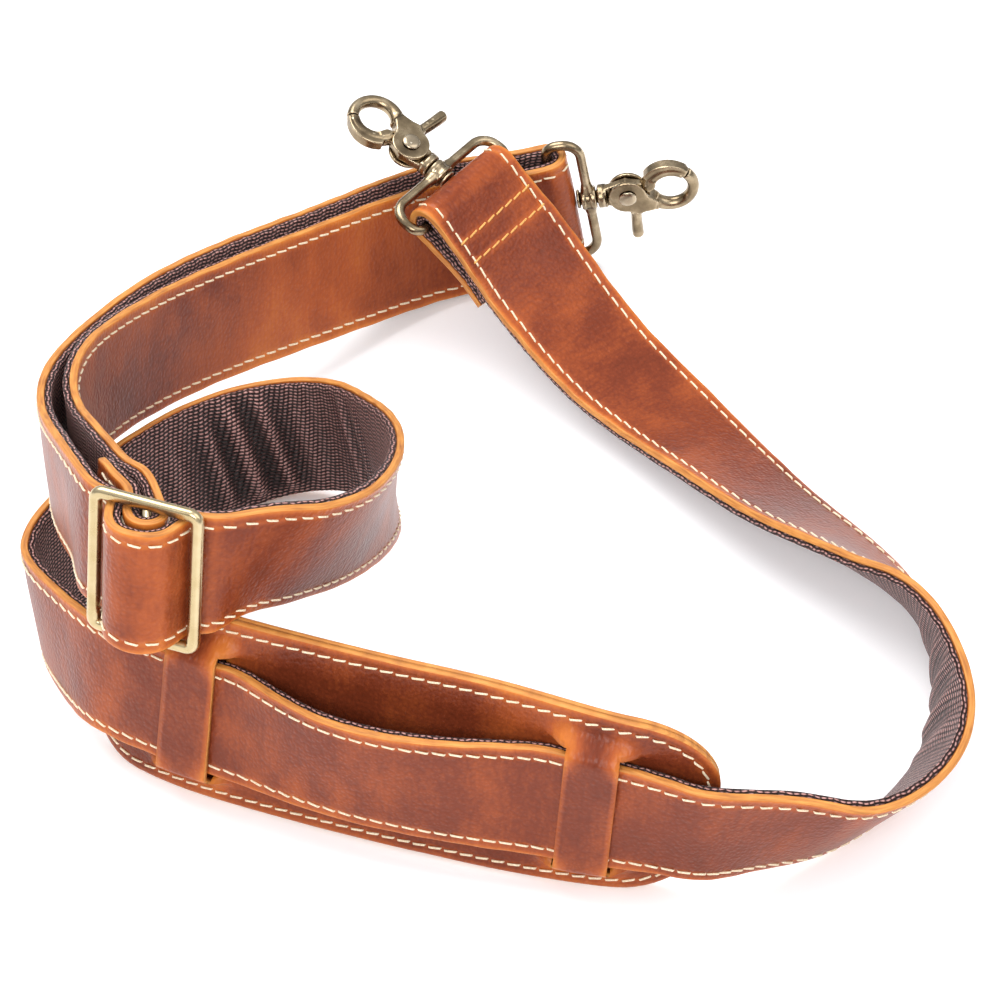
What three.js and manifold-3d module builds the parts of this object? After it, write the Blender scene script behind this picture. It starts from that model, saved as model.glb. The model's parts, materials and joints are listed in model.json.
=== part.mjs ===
// Bag shoulder strap: leather backed with webbing, a shoulder pad, a slider and two trigger hooks.
// Lengths are millimetres, angles degrees, +X right, +Y away from the viewer, +Z up.
import * as THREE from 'three';
import { mergeVertices } from 'three/addons/utils/BufferGeometryUtils.js';
import Module from 'manifold-3d';

const wasm = await Module();
wasm.setup();

// Strap
const STRAP_WIDTH = 38;
const WEBBING_WIDTH = 37;
const LEATHER = 2.2;
const WEBBING = 1.8;
const SEAM_GAP = 0.3;
const SPLINE_STEPS = 2;
const FOLD_STEP_DEG = 20;
const TAIL_A_SECTIONS = 6;
const SLIDER_FOLD_START_DEG = 45;

// Pad
const PAD_HEIGHT = 63;
const PAD_LAYER = 1.8;
const PAD_CORNER = 24;
const PAD_STRAP_FOOT = 12.5;
const PAD_BRIDGE_RISE = 6.9;
const SLIT_WIDTH = 0.8;
const SLIT_LOW = 9.5;
const SLIT_HIGH = 53.6;
const SLITS_ALONG = [26.5, 41, 137.5, 152.5];
const SLIT_SLANT = 0.06;

// Slider
const SLIDER_LENGTH = 32;
const SLIDER_HEIGHT = 46;
const SLIDER_BAR = 3.5;
const SLIDER_THICK = 3;
const SLIDER_CORNER = 4;
const SLIDER_CENTRE_BAR = 1.2;

// Hooks, measured along the hook from the bar of its ring
const RING_WIRE = 1.6;
const RING_HALF = 22.4;
const RING_DEPTH = 10.3;
const RING_CORNER = 3.6;
const BARREL = { from: 8.05, to: 12.8, radius: 3.7, bore: 2.3 };
const STEM = { from: 7, to: 14, radius: 1.95 };
const BUTTON = { from: 6.6, to: 7.75, radius: 3.1 };
const COLLAR = { from: 13.1, to: 15.5, radius: 3.8 };
const SHOULDER = { half: 3.3, thick: 2.2 };
const RIVET_AT = 22.3;
const PLATE = { radius: 5.8, inner: 1.55, outer: 2.8 };
const TONGUE = { radius: 5.3, half: 1.25 };
const RIVET = { radius: 1.8, bore: 2.1, head: 2.9, headFrom: 3.1, headTo: 3.9 };
const EYE = { x: 35.6, y: -0.3, inner: 5.3, outer: 8.7, half: 2.2 };
const FIXED_JAW_DEG = [-175, -42.5];
const MOVING_JAW_DEG = [-39.5, 165];
const LEVER = { x: 23.5, width: 2.8, from: 3.2, to: 17.8, half: 2.2 };
const RING_A_SWING = 20;
const RING_B_SWING = -12;

// Strap from the fold on hook a to the pad: lower edge of the leather face and lean to the leather side
const ROWS_TO_PAD = [
  { x: 4, y: 96, z: 52.2, lean: -92 },
  { x: 10, y: 91.6, z: 46.3, lean: -94 },
  { x: 17.5, y: 86.5, z: 38.7, lean: -94.5 },
  { x: 23.5, y: 81, z: 33, lean: -93.5 },
  { x: 29, y: 75.5, z: 27.6, lean: -91 },
  { x: 35, y: 69.5, z: 21.6, lean: -88.5 },
  { x: 47, y: 57, z: 13, lean: -86 },
  { x: 60, y: 43.5, z: 8.3, lean: -81 },
  { x: 71, y: 29, z: 5.4, lean: -74 },
  { x: 83, y: 11.7, z: 4.3, lean: -67 },
  { x: 94, y: -4, z: 4, lean: -62 },
  { x: 103, y: -14, z: 3.8, lean: -58 },
  { x: 112, y: -25.6, z: 3.6, lean: -53 },
  { x: 119, y: -38, z: 3.4, lean: -47 },
  { x: 124, y: -50.5, z: 3, lean: -39 },
  { x: 127, y: -62, z: 2.5, lean: -28 },
  { x: 127, y: -75, z: 1.6, lean: -15 },
  { x: 125, y: -87, z: 0.6, lean: -3 },
  { x: 121.5, y: -98, z: 0, lean: 7 },
  { x: 117.5, y: -108, z: 0, lean: 18 },
  { x: 111.5, y: -118, z: 0, lean: 29 },
  { x: 103, y: -128, z: 0, lean: 34 },
  { x: 92, y: -138, z: 0, lean: 33 },
  { x: 80, y: -145.5, z: 1.5, lean: 28 },
  { x: 68, y: -150.5, z: 5, lean: 18 },
];

// Foot of the pad from its right end to its left end, and its lean
const ROWS_PAD = [
  { x: 57, y: -149.5, lean: 5 },
  { x: 47, y: -150.5, lean: 3 },
  { x: 33, y: -151, lean: 0 },
  { x: 16, y: -148.5, lean: -4 },
  { x: -5, y: -143, lean: -7 },
  { x: -27, y: -136.5, lean: -7 },
  { x: -49, y: -129, lean: -7 },
  { x: -71, y: -121, lean: -7 },
  { x: -85, y: -115, lean: -7 },
  { x: -99, y: -107.5, lean: -6 },
  { x: -107, y: -99.5, lean: -6 },
  { x: -113, y: -90, lean: -6 },
];

// Strap over the pad: distance along the pad, height of its lower edge, how far in front, extra lean
const ROWS_ON_PAD = [
  { along: 4, foot: 9.8, front: 6, lean: 4 },
  { along: 12, foot: 11.5, front: 5, lean: 2 },
  { along: 19, foot: 12.3, front: 4.5, lean: 1 },
  { along: 26, foot: 12.5, front: 4.35, lean: 0 },
  { along: 33, foot: 12.5, front: 4.35, lean: 0 },
  { along: 40, foot: 12.5, front: 4.35, lean: 0 },
  { along: 47, foot: 12.5, front: 4.4, lean: 0 },
  { along: 57, foot: 12.5, front: 5.4, lean: 4 },
  { along: 73, foot: 12.5, front: 7, lean: 9 },
  { along: 91, foot: 12.5, front: 7.6, lean: 11 },
  { along: 106, foot: 12.5, front: 7.4, lean: 10 },
  { along: 119, foot: 12.5, front: 6.2, lean: 5 },
  { along: 130, foot: 12.5, front: 4.5, lean: 0 },
  { along: 137, foot: 12.5, front: 4.35, lean: 0 },
  { along: 145, foot: 12.5, front: 4.35, lean: 0 },
  { along: 152, foot: 12.5, front: 4.35, lean: 0 },
  { along: 159, foot: 12.5, front: 4.4, lean: 0 },
  { along: 168, foot: 12, front: 5.2, lean: 0 },
  { along: 178, foot: 10.5, front: 6.6, lean: 0 },
];

// Strap from the pad round the left turn, the curl and up to the slider
const ROWS_TO_SLIDER = [
  { x: -123, y: -83, z: 5, lean: 2 },
  { x: -128, y: -70, z: 1.5, lean: 4 },
  { x: -129.5, y: -60, z: 0, lean: 6 },
  { x: -127.5, y: -51, z: 0, lean: 8 },
  { x: -122, y: -43, z: 0, lean: 10 },
  { x: -113, y: -34, z: 0, lean: 14 },
  { x: -101, y: -23, z: 0, lean: 18 },
  { x: -87, y: -10.5, z: 0, lean: 21 },
  { x: -73, y: -1, z: 0, lean: 19 },
  { x: -60.5, y: 5, z: 0.5, lean: 12 },
  { x: -49, y: 6, z: 2, lean: 4 },
  { x: -39.5, y: 0.5, z: 5.5, lean: -3 },
  { x: -32.5, y: -10, z: 10.5, lean: -8 },
  { x: -29.5, y: -23, z: 16, lean: -10.5 },
  { x: -27.5, y: -35, z: 23, lean: -10 },
  { x: -28, y: -47.5, z: 29, lean: -6 },
  { x: -31.5, y: -61.5, z: 35.5, lean: 1 },
  { x: -36.5, y: -74.5, z: 42, lean: 7 },
  { x: -43, y: -87, z: 49, lean: 12 },
  { x: -51, y: -98.5, z: 55.5, lean: 16 },
  { x: -60, y: -107.5, z: 61, lean: 15 },
  { x: -69, y: -114, z: 65, lean: 8 },
];

// Strap through the slider: distance along it, how far in front of its middle and above it
const ROWS_THROUGH_SLIDER = [
  { along: -17, front: -5.2, rise: 0 },
  { along: -10.8, front: -6.2, rise: 0 },
  { along: -8.8, front: -0.4, rise: 0 },
  { along: -7.2, front: 6.2, rise: 0 },
  { along: -3.4, front: 8.9, rise: 0 },
  { along: 0, front: 9.4, rise: 0 },
  { along: 3.4, front: 8.9, rise: 0 },
  { along: 7.2, front: 6.2, rise: 0 },
  { along: 8.8, front: -0.4, rise: 0 },
  { along: 10.8, front: -6.2, rise: 0 },
  { along: 16.5, front: -6.6, rise: 0 },
  { along: 22, front: -11.5, rise: -1 },
];

// Outer layer from the slider round the left end to hook b
const ROWS_TO_HOOK_B = [
  { x: -114, y: -88, z: 57, lean: 0 },
  { x: -118.5, y: -75, z: 51, lean: 0 },
  { x: -122.5, y: -62.5, z: 46, lean: 1 },
  { x: -125.5, y: -46, z: 41.5, lean: 2 },
  { x: -125.5, y: -29.5, z: 37.5, lean: 2 },
  { x: -119, y: -7, z: 31, lean: 3 },
  { x: -104.5, y: 19.5, z: 25, lean: 6 },
  { x: -83, y: 44.5, z: 17.5, lean: 9 },
  { x: -60, y: 64.5, z: 11, lean: 12 },
  { x: -37, y: 85, z: 5.5, lean: 15 },
  { x: -23, y: 96, z: 2.5, lean: 17 },
  { x: -10, y: 104.5, z: 0.5, lean: 14 },
  { x: 3, y: 110.2, z: 2.2, lean: 7 },
  { x: 12, y: 113, z: 4.2, lean: 2 },
  { x: 18.5, y: 115.2, z: 5.4, lean: 0 },
];

// Inner layer from hook b back to the slider
const ROWS_FROM_HOOK_B = [
  { x: 8, y: 97, z: 3.2, lean: -7 },
  { x: -5, y: 92.5, z: 1.5, lean: -13 },
  { x: -17, y: 87, z: 2.6, lean: -17 },
  { x: -30, y: 77.5, z: 5, lean: -17 },
  { x: -54, y: 56.5, z: 11, lean: -13 },
  { x: -77, y: 36, z: 17.5, lean: -9 },
  { x: -95, y: 16, z: 24, lean: -6 },
  { x: -110, y: -9, z: 33, lean: -3 },
  { x: -115.5, y: -29, z: 40, lean: -2 },
  { x: -114.8, y: -44.5, z: 43, lean: -1 },
  { x: -110.5, y: -57, z: 45, lean: 0 },
  { x: -106.5, y: -68, z: 49.5, lean: 0 },
  { x: -102, y: -78.5, z: 55, lean: 0 },
];

// Strap end on the slider: along and in front of its middle, as far as the fold on the centre bar
const ROWS_TO_BAR = [
  { along: 18, front: -24, rise: -3.5 },
  { along: 14, front: -20, rise: -1.2 },
  { along: 9.6, front: -17, rise: 0.3 },
  { along: 5.6, front: -13.6, rise: 0.5 },
  { along: 2.4, front: -9.4, rise: 0 },
  { along: -0.3, front: -5.4, rise: 0 },
];

// Tail of the strap end, from the front of the centre bar back between the layers
const ROWS_TAIL = [
  { along: 4, front: 0.7, rise: 0 },
  { along: 4.9, front: -2.4, rise: 0 },
  { along: 5.8, front: -6, rise: 0 },
  { along: 8.4, front: -10, rise: 0 },
  { along: 12.6, front: -12.8, rise: 0 },
  { along: 16.8, front: -16.6, rise: -0.5 },
  { along: 20.2, front: -20.8, rise: -2 },
];

// Slider place: middle, direction along the strap, direction up the slider
const SLIDER_AT = { x: -92.5, y: -116.4, z: 83.5 };
const SLIDER_ALONG = { x: -0.943, y: 0.333, z: 0.02 };
const SLIDER_UP = { x: 0.088, y: 0.13, z: 0.987 };

const rad = THREE.MathUtils.degToRad;
const vec = (p) => new THREE.Vector3(p.x, p.y, p.z ?? 0);

// Unit frame of a strap section: along, up (lower to upper edge) and face (leather side)
function leanFrame(along, leanDeg) {
  const t = along.clone().normalize();
  const side = new THREE.Vector3(-t.y, t.x, 0).normalize();
  const rise = new THREE.Vector3().crossVectors(t, side);
  const lean = rad(leanDeg);
  const up = rise.clone().multiplyScalar(Math.cos(lean)).addScaledVector(side, Math.sin(lean));
  return { along: t, up, face: new THREE.Vector3().crossVectors(up, t) };
}

// Seam points under the lower and upper edge of the leather face for each row of a floor plan table
function standingRows(rows) {
  return rows.map((row, i) => {
    const before = vec(rows[Math.max(i - 1, 0)]);
    const after = vec(rows[Math.min(i + 1, rows.length - 1)]);
    const { up, face } = leanFrame(after.sub(before), row.lean);
    const low = vec(row).addScaledVector(face, -LEATHER - SEAM_GAP / 2);
    return { low, high: low.clone().addScaledVector(up, STRAP_WIDTH) };
  });
}

// Uniform cubic B-spline that follows a list of points, from the first point to the last
function smooth(points, steps) {
  const first = points[0].clone().multiplyScalar(2).sub(points[1]);
  const last = points.at(-1).clone().multiplyScalar(2).sub(points.at(-2));
  const all = [first, ...points, last];
  const out = [];
  for (let i = 1; i < all.length - 2; i += 1) {
    for (let k = 0; k < steps; k += 1) {
      const t = k / steps;
      const w = [
        (1 - t) ** 3 / 6,
        (3 * t ** 3 - 6 * t ** 2 + 4) / 6,
        (-3 * t ** 3 + 3 * t ** 2 + 3 * t + 1) / 6,
        t ** 3 / 6,
      ];
      const p = new THREE.Vector3();
      w.forEach((weight, j) => p.addScaledVector(all[i - 1 + j], weight));
      out.push(p);
    }
  }
  out.push(points.at(-1).clone());
  return out;
}

// Frames along a strap route given by its lower and upper edge rows
function routeFrames(rows) {
  const low = smooth(rows.map((row) => row.low), SPLINE_STEPS);
  const high = smooth(rows.map((row) => row.high), SPLINE_STEPS);
  const mid = low.map((p, i) => p.clone().add(high[i]).multiplyScalar(0.5));
  return mid.map((at, i) => {
    const up = high[i].clone().sub(low[i]).normalize();
    const along = mid[Math.min(i + 1, mid.length - 1)].clone().sub(mid[Math.max(i - 1, 0)]);
    along.addScaledVector(up, -along.dot(up)).normalize();
    return { at, along, up, face: new THREE.Vector3().crossVectors(up, along) };
  });
}

// Frames of a half turn to the webbing side about a bar, starting at a frame
function foldFrames(start, radius, sense) {
  const hub = start.at.clone().addScaledVector(start.face, -radius);
  const frames = [];
  for (let deg = FOLD_STEP_DEG; deg <= 180; deg += FOLD_STEP_DEG) {
    const c = Math.cos(rad(deg));
    const s = Math.sin(rad(deg)) * sense;
    const face = start.face.clone().multiplyScalar(c).addScaledVector(start.along, s);
    const along = start.along.clone().multiplyScalar(c).addScaledVector(start.face, -s);
    frames.push({ at: hub.clone().addScaledVector(face, radius), along, up: start.up.clone(), face });
  }
  return { hub, frames };
}

// Frame moved straight along itself
function slide(frame, distance) {
  return { ...frame, at: frame.at.clone().addScaledVector(frame.along, distance) };
}

// Lower and upper edge points of a frame
function edges(frame) {
  return {
    low: frame.at.clone().addScaledVector(frame.up, -STRAP_WIDTH / 2),
    high: frame.at.clone().addScaledVector(frame.up, STRAP_WIDTH / 2),
  };
}

// Closed geometry from points and triangles
function bodyFrom(points, triangles) {
  const geometry = new THREE.BufferGeometry();
  geometry.setAttribute('position', new THREE.Float32BufferAttribute(points.flatMap((p) => p.toArray()), 3));
  geometry.setIndex(triangles.flat());
  return geometry;
}

// Strip of one material swept along the frames between two distances from the seam
function sweepLayer(frames, width, inner, outer) {
  const points = [];
  frames.forEach(({ at, up, face }) => {
    [[-1, inner], [1, inner], [1, outer], [-1, outer]].forEach(([side, out]) => {
      points.push(at.clone().addScaledVector(up, side * width / 2).addScaledVector(face, out));
    });
  });
  const triangles = [];
  for (let i = 0; i < frames.length - 1; i += 1) {
    for (let k = 0; k < 4; k += 1) {
      const a = 4 * i + k;
      const b = 4 * i + (k + 1) % 4;
      if (k === 2) triangles.push([a, a + 4, b], [b, a + 4, b + 4]);
      else triangles.push([a, b + 4, b], [a, a + 4, b + 4]);
    }
  }
  const end = 4 * (frames.length - 1);
  triangles.push([0, 1, 2], [0, 2, 3], [end, end + 2, end + 1], [end, end + 3, end + 2]);
  return bodyFrom(points, triangles);
}

// Foot line of the pad, its lean and its running length
const padFeet = smooth(ROWS_PAD.map(vec), 8);
const padLeans = smooth(ROWS_PAD.map((row) => new THREE.Vector3(row.lean, 0, 0)), 8);
const padRun = [0];
padFeet.slice(1).forEach((p, i) => padRun.push(padRun[i] + p.distanceTo(padFeet[i])));
const PAD_LENGTH = padRun.at(-1);

// Frame of the pad at a distance along its foot
function padFrame(along) {
  const found = padRun.findIndex((run) => run > along);
  const i = Math.min(Math.max(found < 0 ? padRun.length - 1 : found, 1), padRun.length - 1);
  const part = (along - padRun[i - 1]) / (padRun[i] - padRun[i - 1]);
  const foot = padFeet[i - 1].clone().lerp(padFeet[i], part);
  const direction = padFeet[Math.min(i + 1, padFeet.length - 1)].clone().sub(padFeet[Math.max(i - 2, 0)]);
  const lean = padLeans[i - 1].x + (padLeans[i].x - padLeans[i - 1].x) * part;
  return { foot, ...leanFrame(direction, lean) };
}

// Point of the pad at a distance along it, up it and in front of it
function padPoint(along, height, front) {
  const { foot, up, face } = padFrame(along);
  return foot.clone().addScaledVector(up, height).addScaledVector(face, front);
}

// Rise of the pad front over the strap, full on a bridge and nothing at the ends of the slits
function bridgeRise(along, height) {
  const half = SLIT_WIDTH / 4;
  const onBridge = (along > SLITS_ALONG[0] + half && along < SLITS_ALONG[1] - half)
    || (along > SLITS_ALONG[2] + half && along < SLITS_ALONG[3] - half);
  if (!onBridge) return 0;
  const low = THREE.MathUtils.smoothstep(height, SLIT_LOW, PAD_STRAP_FOOT - 0.6);
  const high = 1 - THREE.MathUtils.smoothstep(height, PAD_STRAP_FOOT + STRAP_WIDTH + 0.6, SLIT_HIGH);
  return PAD_BRIDGE_RISE * low * high;
}

// Columns and rows of the pad
const padColumns = [
  ...[0, 0.6, 2.2, 5, 9, 14.5].flatMap((d) => [d, PAD_LENGTH - d]),
  ...SLITS_ALONG.flatMap((s) => [s - SLIT_WIDTH / 2, s + SLIT_WIDTH / 2]),
  20, 33.7, 50, 61, 72, 83, 94, 105, 116, 127, 145, 160,
].sort((a, b) => a - b);
const FRONT_ROWS = [0, SLIT_LOW, 10.3, 11.1, PAD_STRAP_FOOT - 0.6, 31.5,
  PAD_STRAP_FOOT + STRAP_WIDTH + 0.6, 51.9, 52.8, SLIT_HIGH, PAD_HEIGHT];
const BACK_ROWS = [0, 21, 42, PAD_HEIGHT];

// How far the rounded ends of the pad cut into its height
function endCut(along) {
  const d = Math.min(along, PAD_LENGTH - along);
  return d >= PAD_CORNER ? 0 : PAD_CORNER - Math.sqrt(PAD_CORNER ** 2 - (PAD_CORNER - d) ** 2);
}

// Layer of the pad between two distances in front of its middle, with or without the slits
function padLayer(back, front, slitted) {
  const padRows = slitted ? FRONT_ROWS : BACK_ROWS;
  const nx = padColumns.length;
  const ny = padRows.length;
  const points = [];
  padColumns.forEach((along) => {
    const cut = endCut(along);
    padRows.forEach((row) => {
      const height = cut + row * (PAD_HEIGHT - 2 * cut) / PAD_HEIGHT;
      const rise = slitted ? bridgeRise(along, row) : 0;
      const slanted = along + SLIT_SLANT * (PAD_HEIGHT / 2 - height);
      points.push(padPoint(slanted, height, back + rise), padPoint(slanted, height, front + rise));
    });
  });
  const open = (i, j) => {
    if (i < 0 || j < 0 || i >= nx - 1 || j >= ny - 1) return true;
    const middle = (padColumns[i] + padColumns[i + 1]) / 2;
    const inSlit = SLITS_ALONG.some((s) => Math.abs(middle - s) < SLIT_WIDTH / 2);
    return slitted && inSlit && padRows[j] >= SLIT_LOW && padRows[j + 1] <= SLIT_HIGH;
  };
  const id = (i, j, side) => 2 * (i * ny + j) + side;
  const triangles = [];
  const quad = (a, b, c, d) => triangles.push([a, b, c], [a, c, d]);
  for (let i = 0; i < nx - 1; i += 1) {
    for (let j = 0; j < ny - 1; j += 1) {
      if (open(i, j)) continue;
      quad(id(i, j, 1), id(i, j + 1, 1), id(i + 1, j + 1, 1), id(i + 1, j, 1));
      quad(id(i, j, 0), id(i + 1, j, 0), id(i + 1, j + 1, 0), id(i, j + 1, 0));
      if (open(i - 1, j)) quad(id(i, j, 0), id(i, j + 1, 0), id(i, j + 1, 1), id(i, j, 1));
      if (open(i + 1, j)) quad(id(i + 1, j, 1), id(i + 1, j + 1, 1), id(i + 1, j + 1, 0), id(i + 1, j, 0));
      if (open(i, j - 1)) quad(id(i, j, 0), id(i, j, 1), id(i + 1, j, 1), id(i + 1, j, 0));
      if (open(i, j + 1)) quad(id(i, j + 1, 1), id(i, j + 1, 0), id(i + 1, j + 1, 0), id(i + 1, j + 1, 1));
    }
  }
  return bodyFrom(points, triangles);
}

// Strap rows over the pad
function rowsOnPad() {
  return ROWS_ON_PAD.map(({ along, foot, front, lean }) => {
    const { up, face } = padFrame(along);
    const low = padPoint(along, foot, front);
    const tipped = up.clone().multiplyScalar(Math.cos(rad(lean))).addScaledVector(face, Math.sin(rad(lean)));
    return { low, high: low.clone().addScaledVector(tipped, STRAP_WIDTH) };
  });
}

// Slider frame of reference
const sliderAlong = vec(SLIDER_ALONG).normalize();
const sliderUp = vec(SLIDER_UP).addScaledVector(sliderAlong, -vec(SLIDER_UP).dot(sliderAlong)).normalize();
const sliderFace = new THREE.Vector3().crossVectors(sliderUp, sliderAlong);

// Strap rows given by their place in the slider
function rowsAtSlider(rows) {
  return rows.map(({ along, front, rise }) => edges({
    at: vec(SLIDER_AT).addScaledVector(sliderAlong, along)
      .addScaledVector(sliderFace, front).addScaledVector(sliderUp, rise),
    up: sliderUp,
  }));
}

// Whole strap route
const barFold = RING_WIRE + SEAM_GAP + WEBBING + SEAM_GAP / 2;
const sliderFold = SLIDER_CENTRE_BAR + SEAM_GAP + WEBBING + SEAM_GAP / 2;

const firstRun = routeFrames([
  ...standingRows(ROWS_TO_PAD),
  ...rowsOnPad(),
  ...standingRows(ROWS_TO_SLIDER),
  ...rowsAtSlider(ROWS_THROUGH_SLIDER),
  ...standingRows(ROWS_TO_HOOK_B),
]);
const foldA = foldFrames(firstRun[0], barFold, -1);
const tailA = firstRun.slice(1, TAIL_A_SECTIONS + 1).map((frame, i) => {
  const closing = 2 * barFold + (2 * WEBBING + 2 * SEAM_GAP - 2 * barFold) * Math.min(1, (i + 1) / 4);
  return { at: frame.at.clone().addScaledVector(frame.face, -closing), along: frame.along.clone().negate(),
    up: frame.up, face: frame.face.clone().negate() };
});
const foldB = foldFrames(firstRun.at(-1), barFold, 1);
const leaveB = foldB.frames.at(-1);
const foldTurn = rad(SLIDER_FOLD_START_DEG);
const foldFace = sliderFace.clone().multiplyScalar(-Math.cos(foldTurn))
  .addScaledVector(sliderAlong, -Math.sin(foldTurn));
const foldStart = {
  at: vec(SLIDER_AT).addScaledVector(foldFace, sliderFold),
  along: new THREE.Vector3().crossVectors(foldFace, sliderUp),
  up: sliderUp,
  face: foldFace,
};
const barTurn = foldFrames(foldStart, sliderFold, 1);
const secondRun = routeFrames([
  edges(slide(leaveB, 3)),
  edges(slide(leaveB, 8)),
  ...standingRows(ROWS_FROM_HOOK_B),
  ...rowsAtSlider(ROWS_TO_BAR),
  edges(foldStart),
]);
const tailRun = routeFrames([edges(barTurn.frames.at(-1)), ...rowsAtSlider(ROWS_TAIL)]);
const strapFrames = [
  ...tailA.toReversed(),
  ...foldA.frames.toReversed(),
  ...firstRun,
  ...foldB.frames,
  ...secondRun,
  ...barTurn.frames,
  ...tailRun.slice(1),
];

// Solid for joining and cutting
function toSolid(geometry) {
  const bare = geometry.clone();
  bare.deleteAttribute('normal');
  bare.deleteAttribute('uv');
  const welded = mergeVertices(bare, 1e-4);
  const mesh = new wasm.Mesh({
    numProp: 3,
    vertProperties: new Float32Array(welded.attributes.position.array),
    triVerts: new Uint32Array(welded.index.array),
  });
  return new wasm.Manifold(mesh);
}

// Geometry of a finished solid
function fromSolid(solid) {
  const mesh = solid.getMesh();
  const geometry = new THREE.BufferGeometry();
  geometry.setAttribute('position', new THREE.Float32BufferAttribute(mesh.vertProperties, 3));
  geometry.setIndex(Array.from(mesh.triVerts));
  return geometry;
}

// Round bar along the hook
function barAlongX(from, to, radius) {
  const bar = new THREE.CylinderGeometry(radius, radius, to - from, 16);
  return bar.rotateZ(Math.PI / 2).translate((from + to) / 2, 0, 0);
}

// Disc across the hook, round the rivet
function discAtRivet(radius, from, to) {
  const disc = new THREE.CylinderGeometry(radius, radius, to - from, 18);
  return disc.rotateX(Math.PI / 2).translate(RIVET_AT, 0, (from + to) / 2);
}

// Block between two corners
function block(x0, x1, y0, y1, z0, z1) {
  const box = new THREE.BoxGeometry(x1 - x0, y1 - y0, z1 - z0);
  return box.translate((x0 + x1) / 2, (y0 + y1) / 2, (z0 + z1) / 2);
}

// Arc of the eye between two angles
function eyeArc([fromDeg, toDeg]) {
  const shape = new THREE.Shape();
  shape.absarc(EYE.x, EYE.y, EYE.outer, rad(fromDeg), rad(toDeg), false);
  shape.absarc(EYE.x, EYE.y, EYE.inner, rad(toDeg), rad(fromDeg), true);
  shape.closePath();
  const flat = { depth: 2 * EYE.half, bevelEnabled: false, curveSegments: 10 };
  const arc = new THREE.ExtrudeGeometry(shape, flat);
  return arc.translate(0, 0, -EYE.half);
}

// One solid from several
function joinAll(geometries) {
  return geometries.map(toSolid).reduce((sum, solid) => sum.add(solid));
}

// Rectangular ring with the barrel that the hook turns in
function hookRing() {
  const r = RING_CORNER;
  const outline = new THREE.CurvePath();
  const corners = [[0, -RING_HALF], [RING_DEPTH, -RING_HALF], [RING_DEPTH, RING_HALF], [0, RING_HALF]];
  corners.forEach(([x, y], i) => {
    const [px, py] = corners[(i + 3) % 4];
    const [nx, ny] = corners[(i + 1) % 4];
    const corner = new THREE.Vector3(x, y, 0);
    const enter = new THREE.Vector3(px, py, 0).sub(corner).setLength(r).add(corner);
    const leave = new THREE.Vector3(nx, ny, 0).sub(corner).setLength(r).add(corner);
    const following = new THREE.Vector3(x, y, 0).sub(new THREE.Vector3(nx, ny, 0)).setLength(r);
    outline.add(new THREE.QuadraticBezierCurve3(enter, corner, leave));
    outline.add(new THREE.LineCurve3(leave, new THREE.Vector3(nx, ny, 0).add(following)));
  });
  const points = outline.getPoints(6).slice(0, -1);
  const path = new THREE.CatmullRomCurve3(points, true, 'centripetal');
  const wire = new THREE.TubeGeometry(path, 48, RING_WIRE, 8, true);
  return fromSolid(toSolid(wire)
    .add(toSolid(barAlongX(BARREL.from, BARREL.to, BARREL.radius)))
    .subtract(toSolid(barAlongX(BARREL.from - 3, BARREL.to + 3, BARREL.bore))));
}

// Stem, collar, tongue and fixed jaw
function hookBody() {
  const { half: wide, thick } = SHOULDER;
  const shoulder = block(COLLAR.to - 0.6, RIVET_AT - PLATE.radius - 0.4, -wide, wide, -thick, thick);
  const neck = block(COLLAR.to - 0.6, RIVET_AT - 2, -wide, wide, -TONGUE.half, TONGUE.half);
  const whole = joinAll([
    barAlongX(STEM.from, STEM.to, STEM.radius),
    barAlongX(BUTTON.from, BUTTON.to, BUTTON.radius),
    barAlongX(COLLAR.from, COLLAR.to, COLLAR.radius),
    shoulder,
    neck,
    discAtRivet(TONGUE.radius, -TONGUE.half, TONGUE.half),
    eyeArc(FIXED_JAW_DEG),
  ]);
  const step = PLATE.radius + 0.5;
  return fromSolid(whole
    .subtract(toSolid(discAtRivet(step, TONGUE.half, 5)))
    .subtract(toSolid(discAtRivet(step, -5, -TONGUE.half)))
    .subtract(toSolid(discAtRivet(RIVET.bore, -5, 5))));
}

// Moving jaw with its rivet plates and lever
function hookTrigger() {
  const side = LEVER.width / 2;
  const whole = joinAll([
    discAtRivet(PLATE.radius, PLATE.inner, PLATE.outer),
    discAtRivet(PLATE.radius, -PLATE.outer, -PLATE.inner),
    eyeArc(MOVING_JAW_DEG),
    block(LEVER.x - side, LEVER.x + side, LEVER.from, LEVER.to, -LEVER.half, LEVER.half),
  ]);
  return fromSolid(whole
    .subtract(toSolid(discAtRivet(TONGUE.radius + 0.4, -PLATE.inner, PLATE.inner)))
    .subtract(toSolid(discAtRivet(RIVET.bore, -5, 5))));
}

// Headed rivet that the trigger turns on
function hookRivet() {
  return fromSolid(joinAll([
    discAtRivet(RIVET.radius, -RIVET.headTo + 0.2, RIVET.headTo - 0.2),
    discAtRivet(RIVET.head, RIVET.headFrom, RIVET.headTo),
    discAtRivet(RIVET.head, -RIVET.headTo, -RIVET.headFrom),
  ]));
}

// Rectangle with round corners
function roundedOutline(target, length, height, corner) {
  const x = length / 2;
  const y = height / 2;
  target.moveTo(-x + corner, -y);
  target.lineTo(x - corner, -y);
  target.absarc(x - corner, -y + corner, corner, -Math.PI / 2, 0, false);
  target.lineTo(x, y - corner);
  target.absarc(x - corner, y - corner, corner, 0, Math.PI / 2, false);
  target.lineTo(-x + corner, y);
  target.absarc(-x + corner, y - corner, corner, Math.PI / 2, Math.PI, false);
  target.lineTo(-x, -y + corner);
  target.absarc(-x + corner, -y + corner, corner, Math.PI, Math.PI * 1.5, false);
  return target;
}

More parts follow.
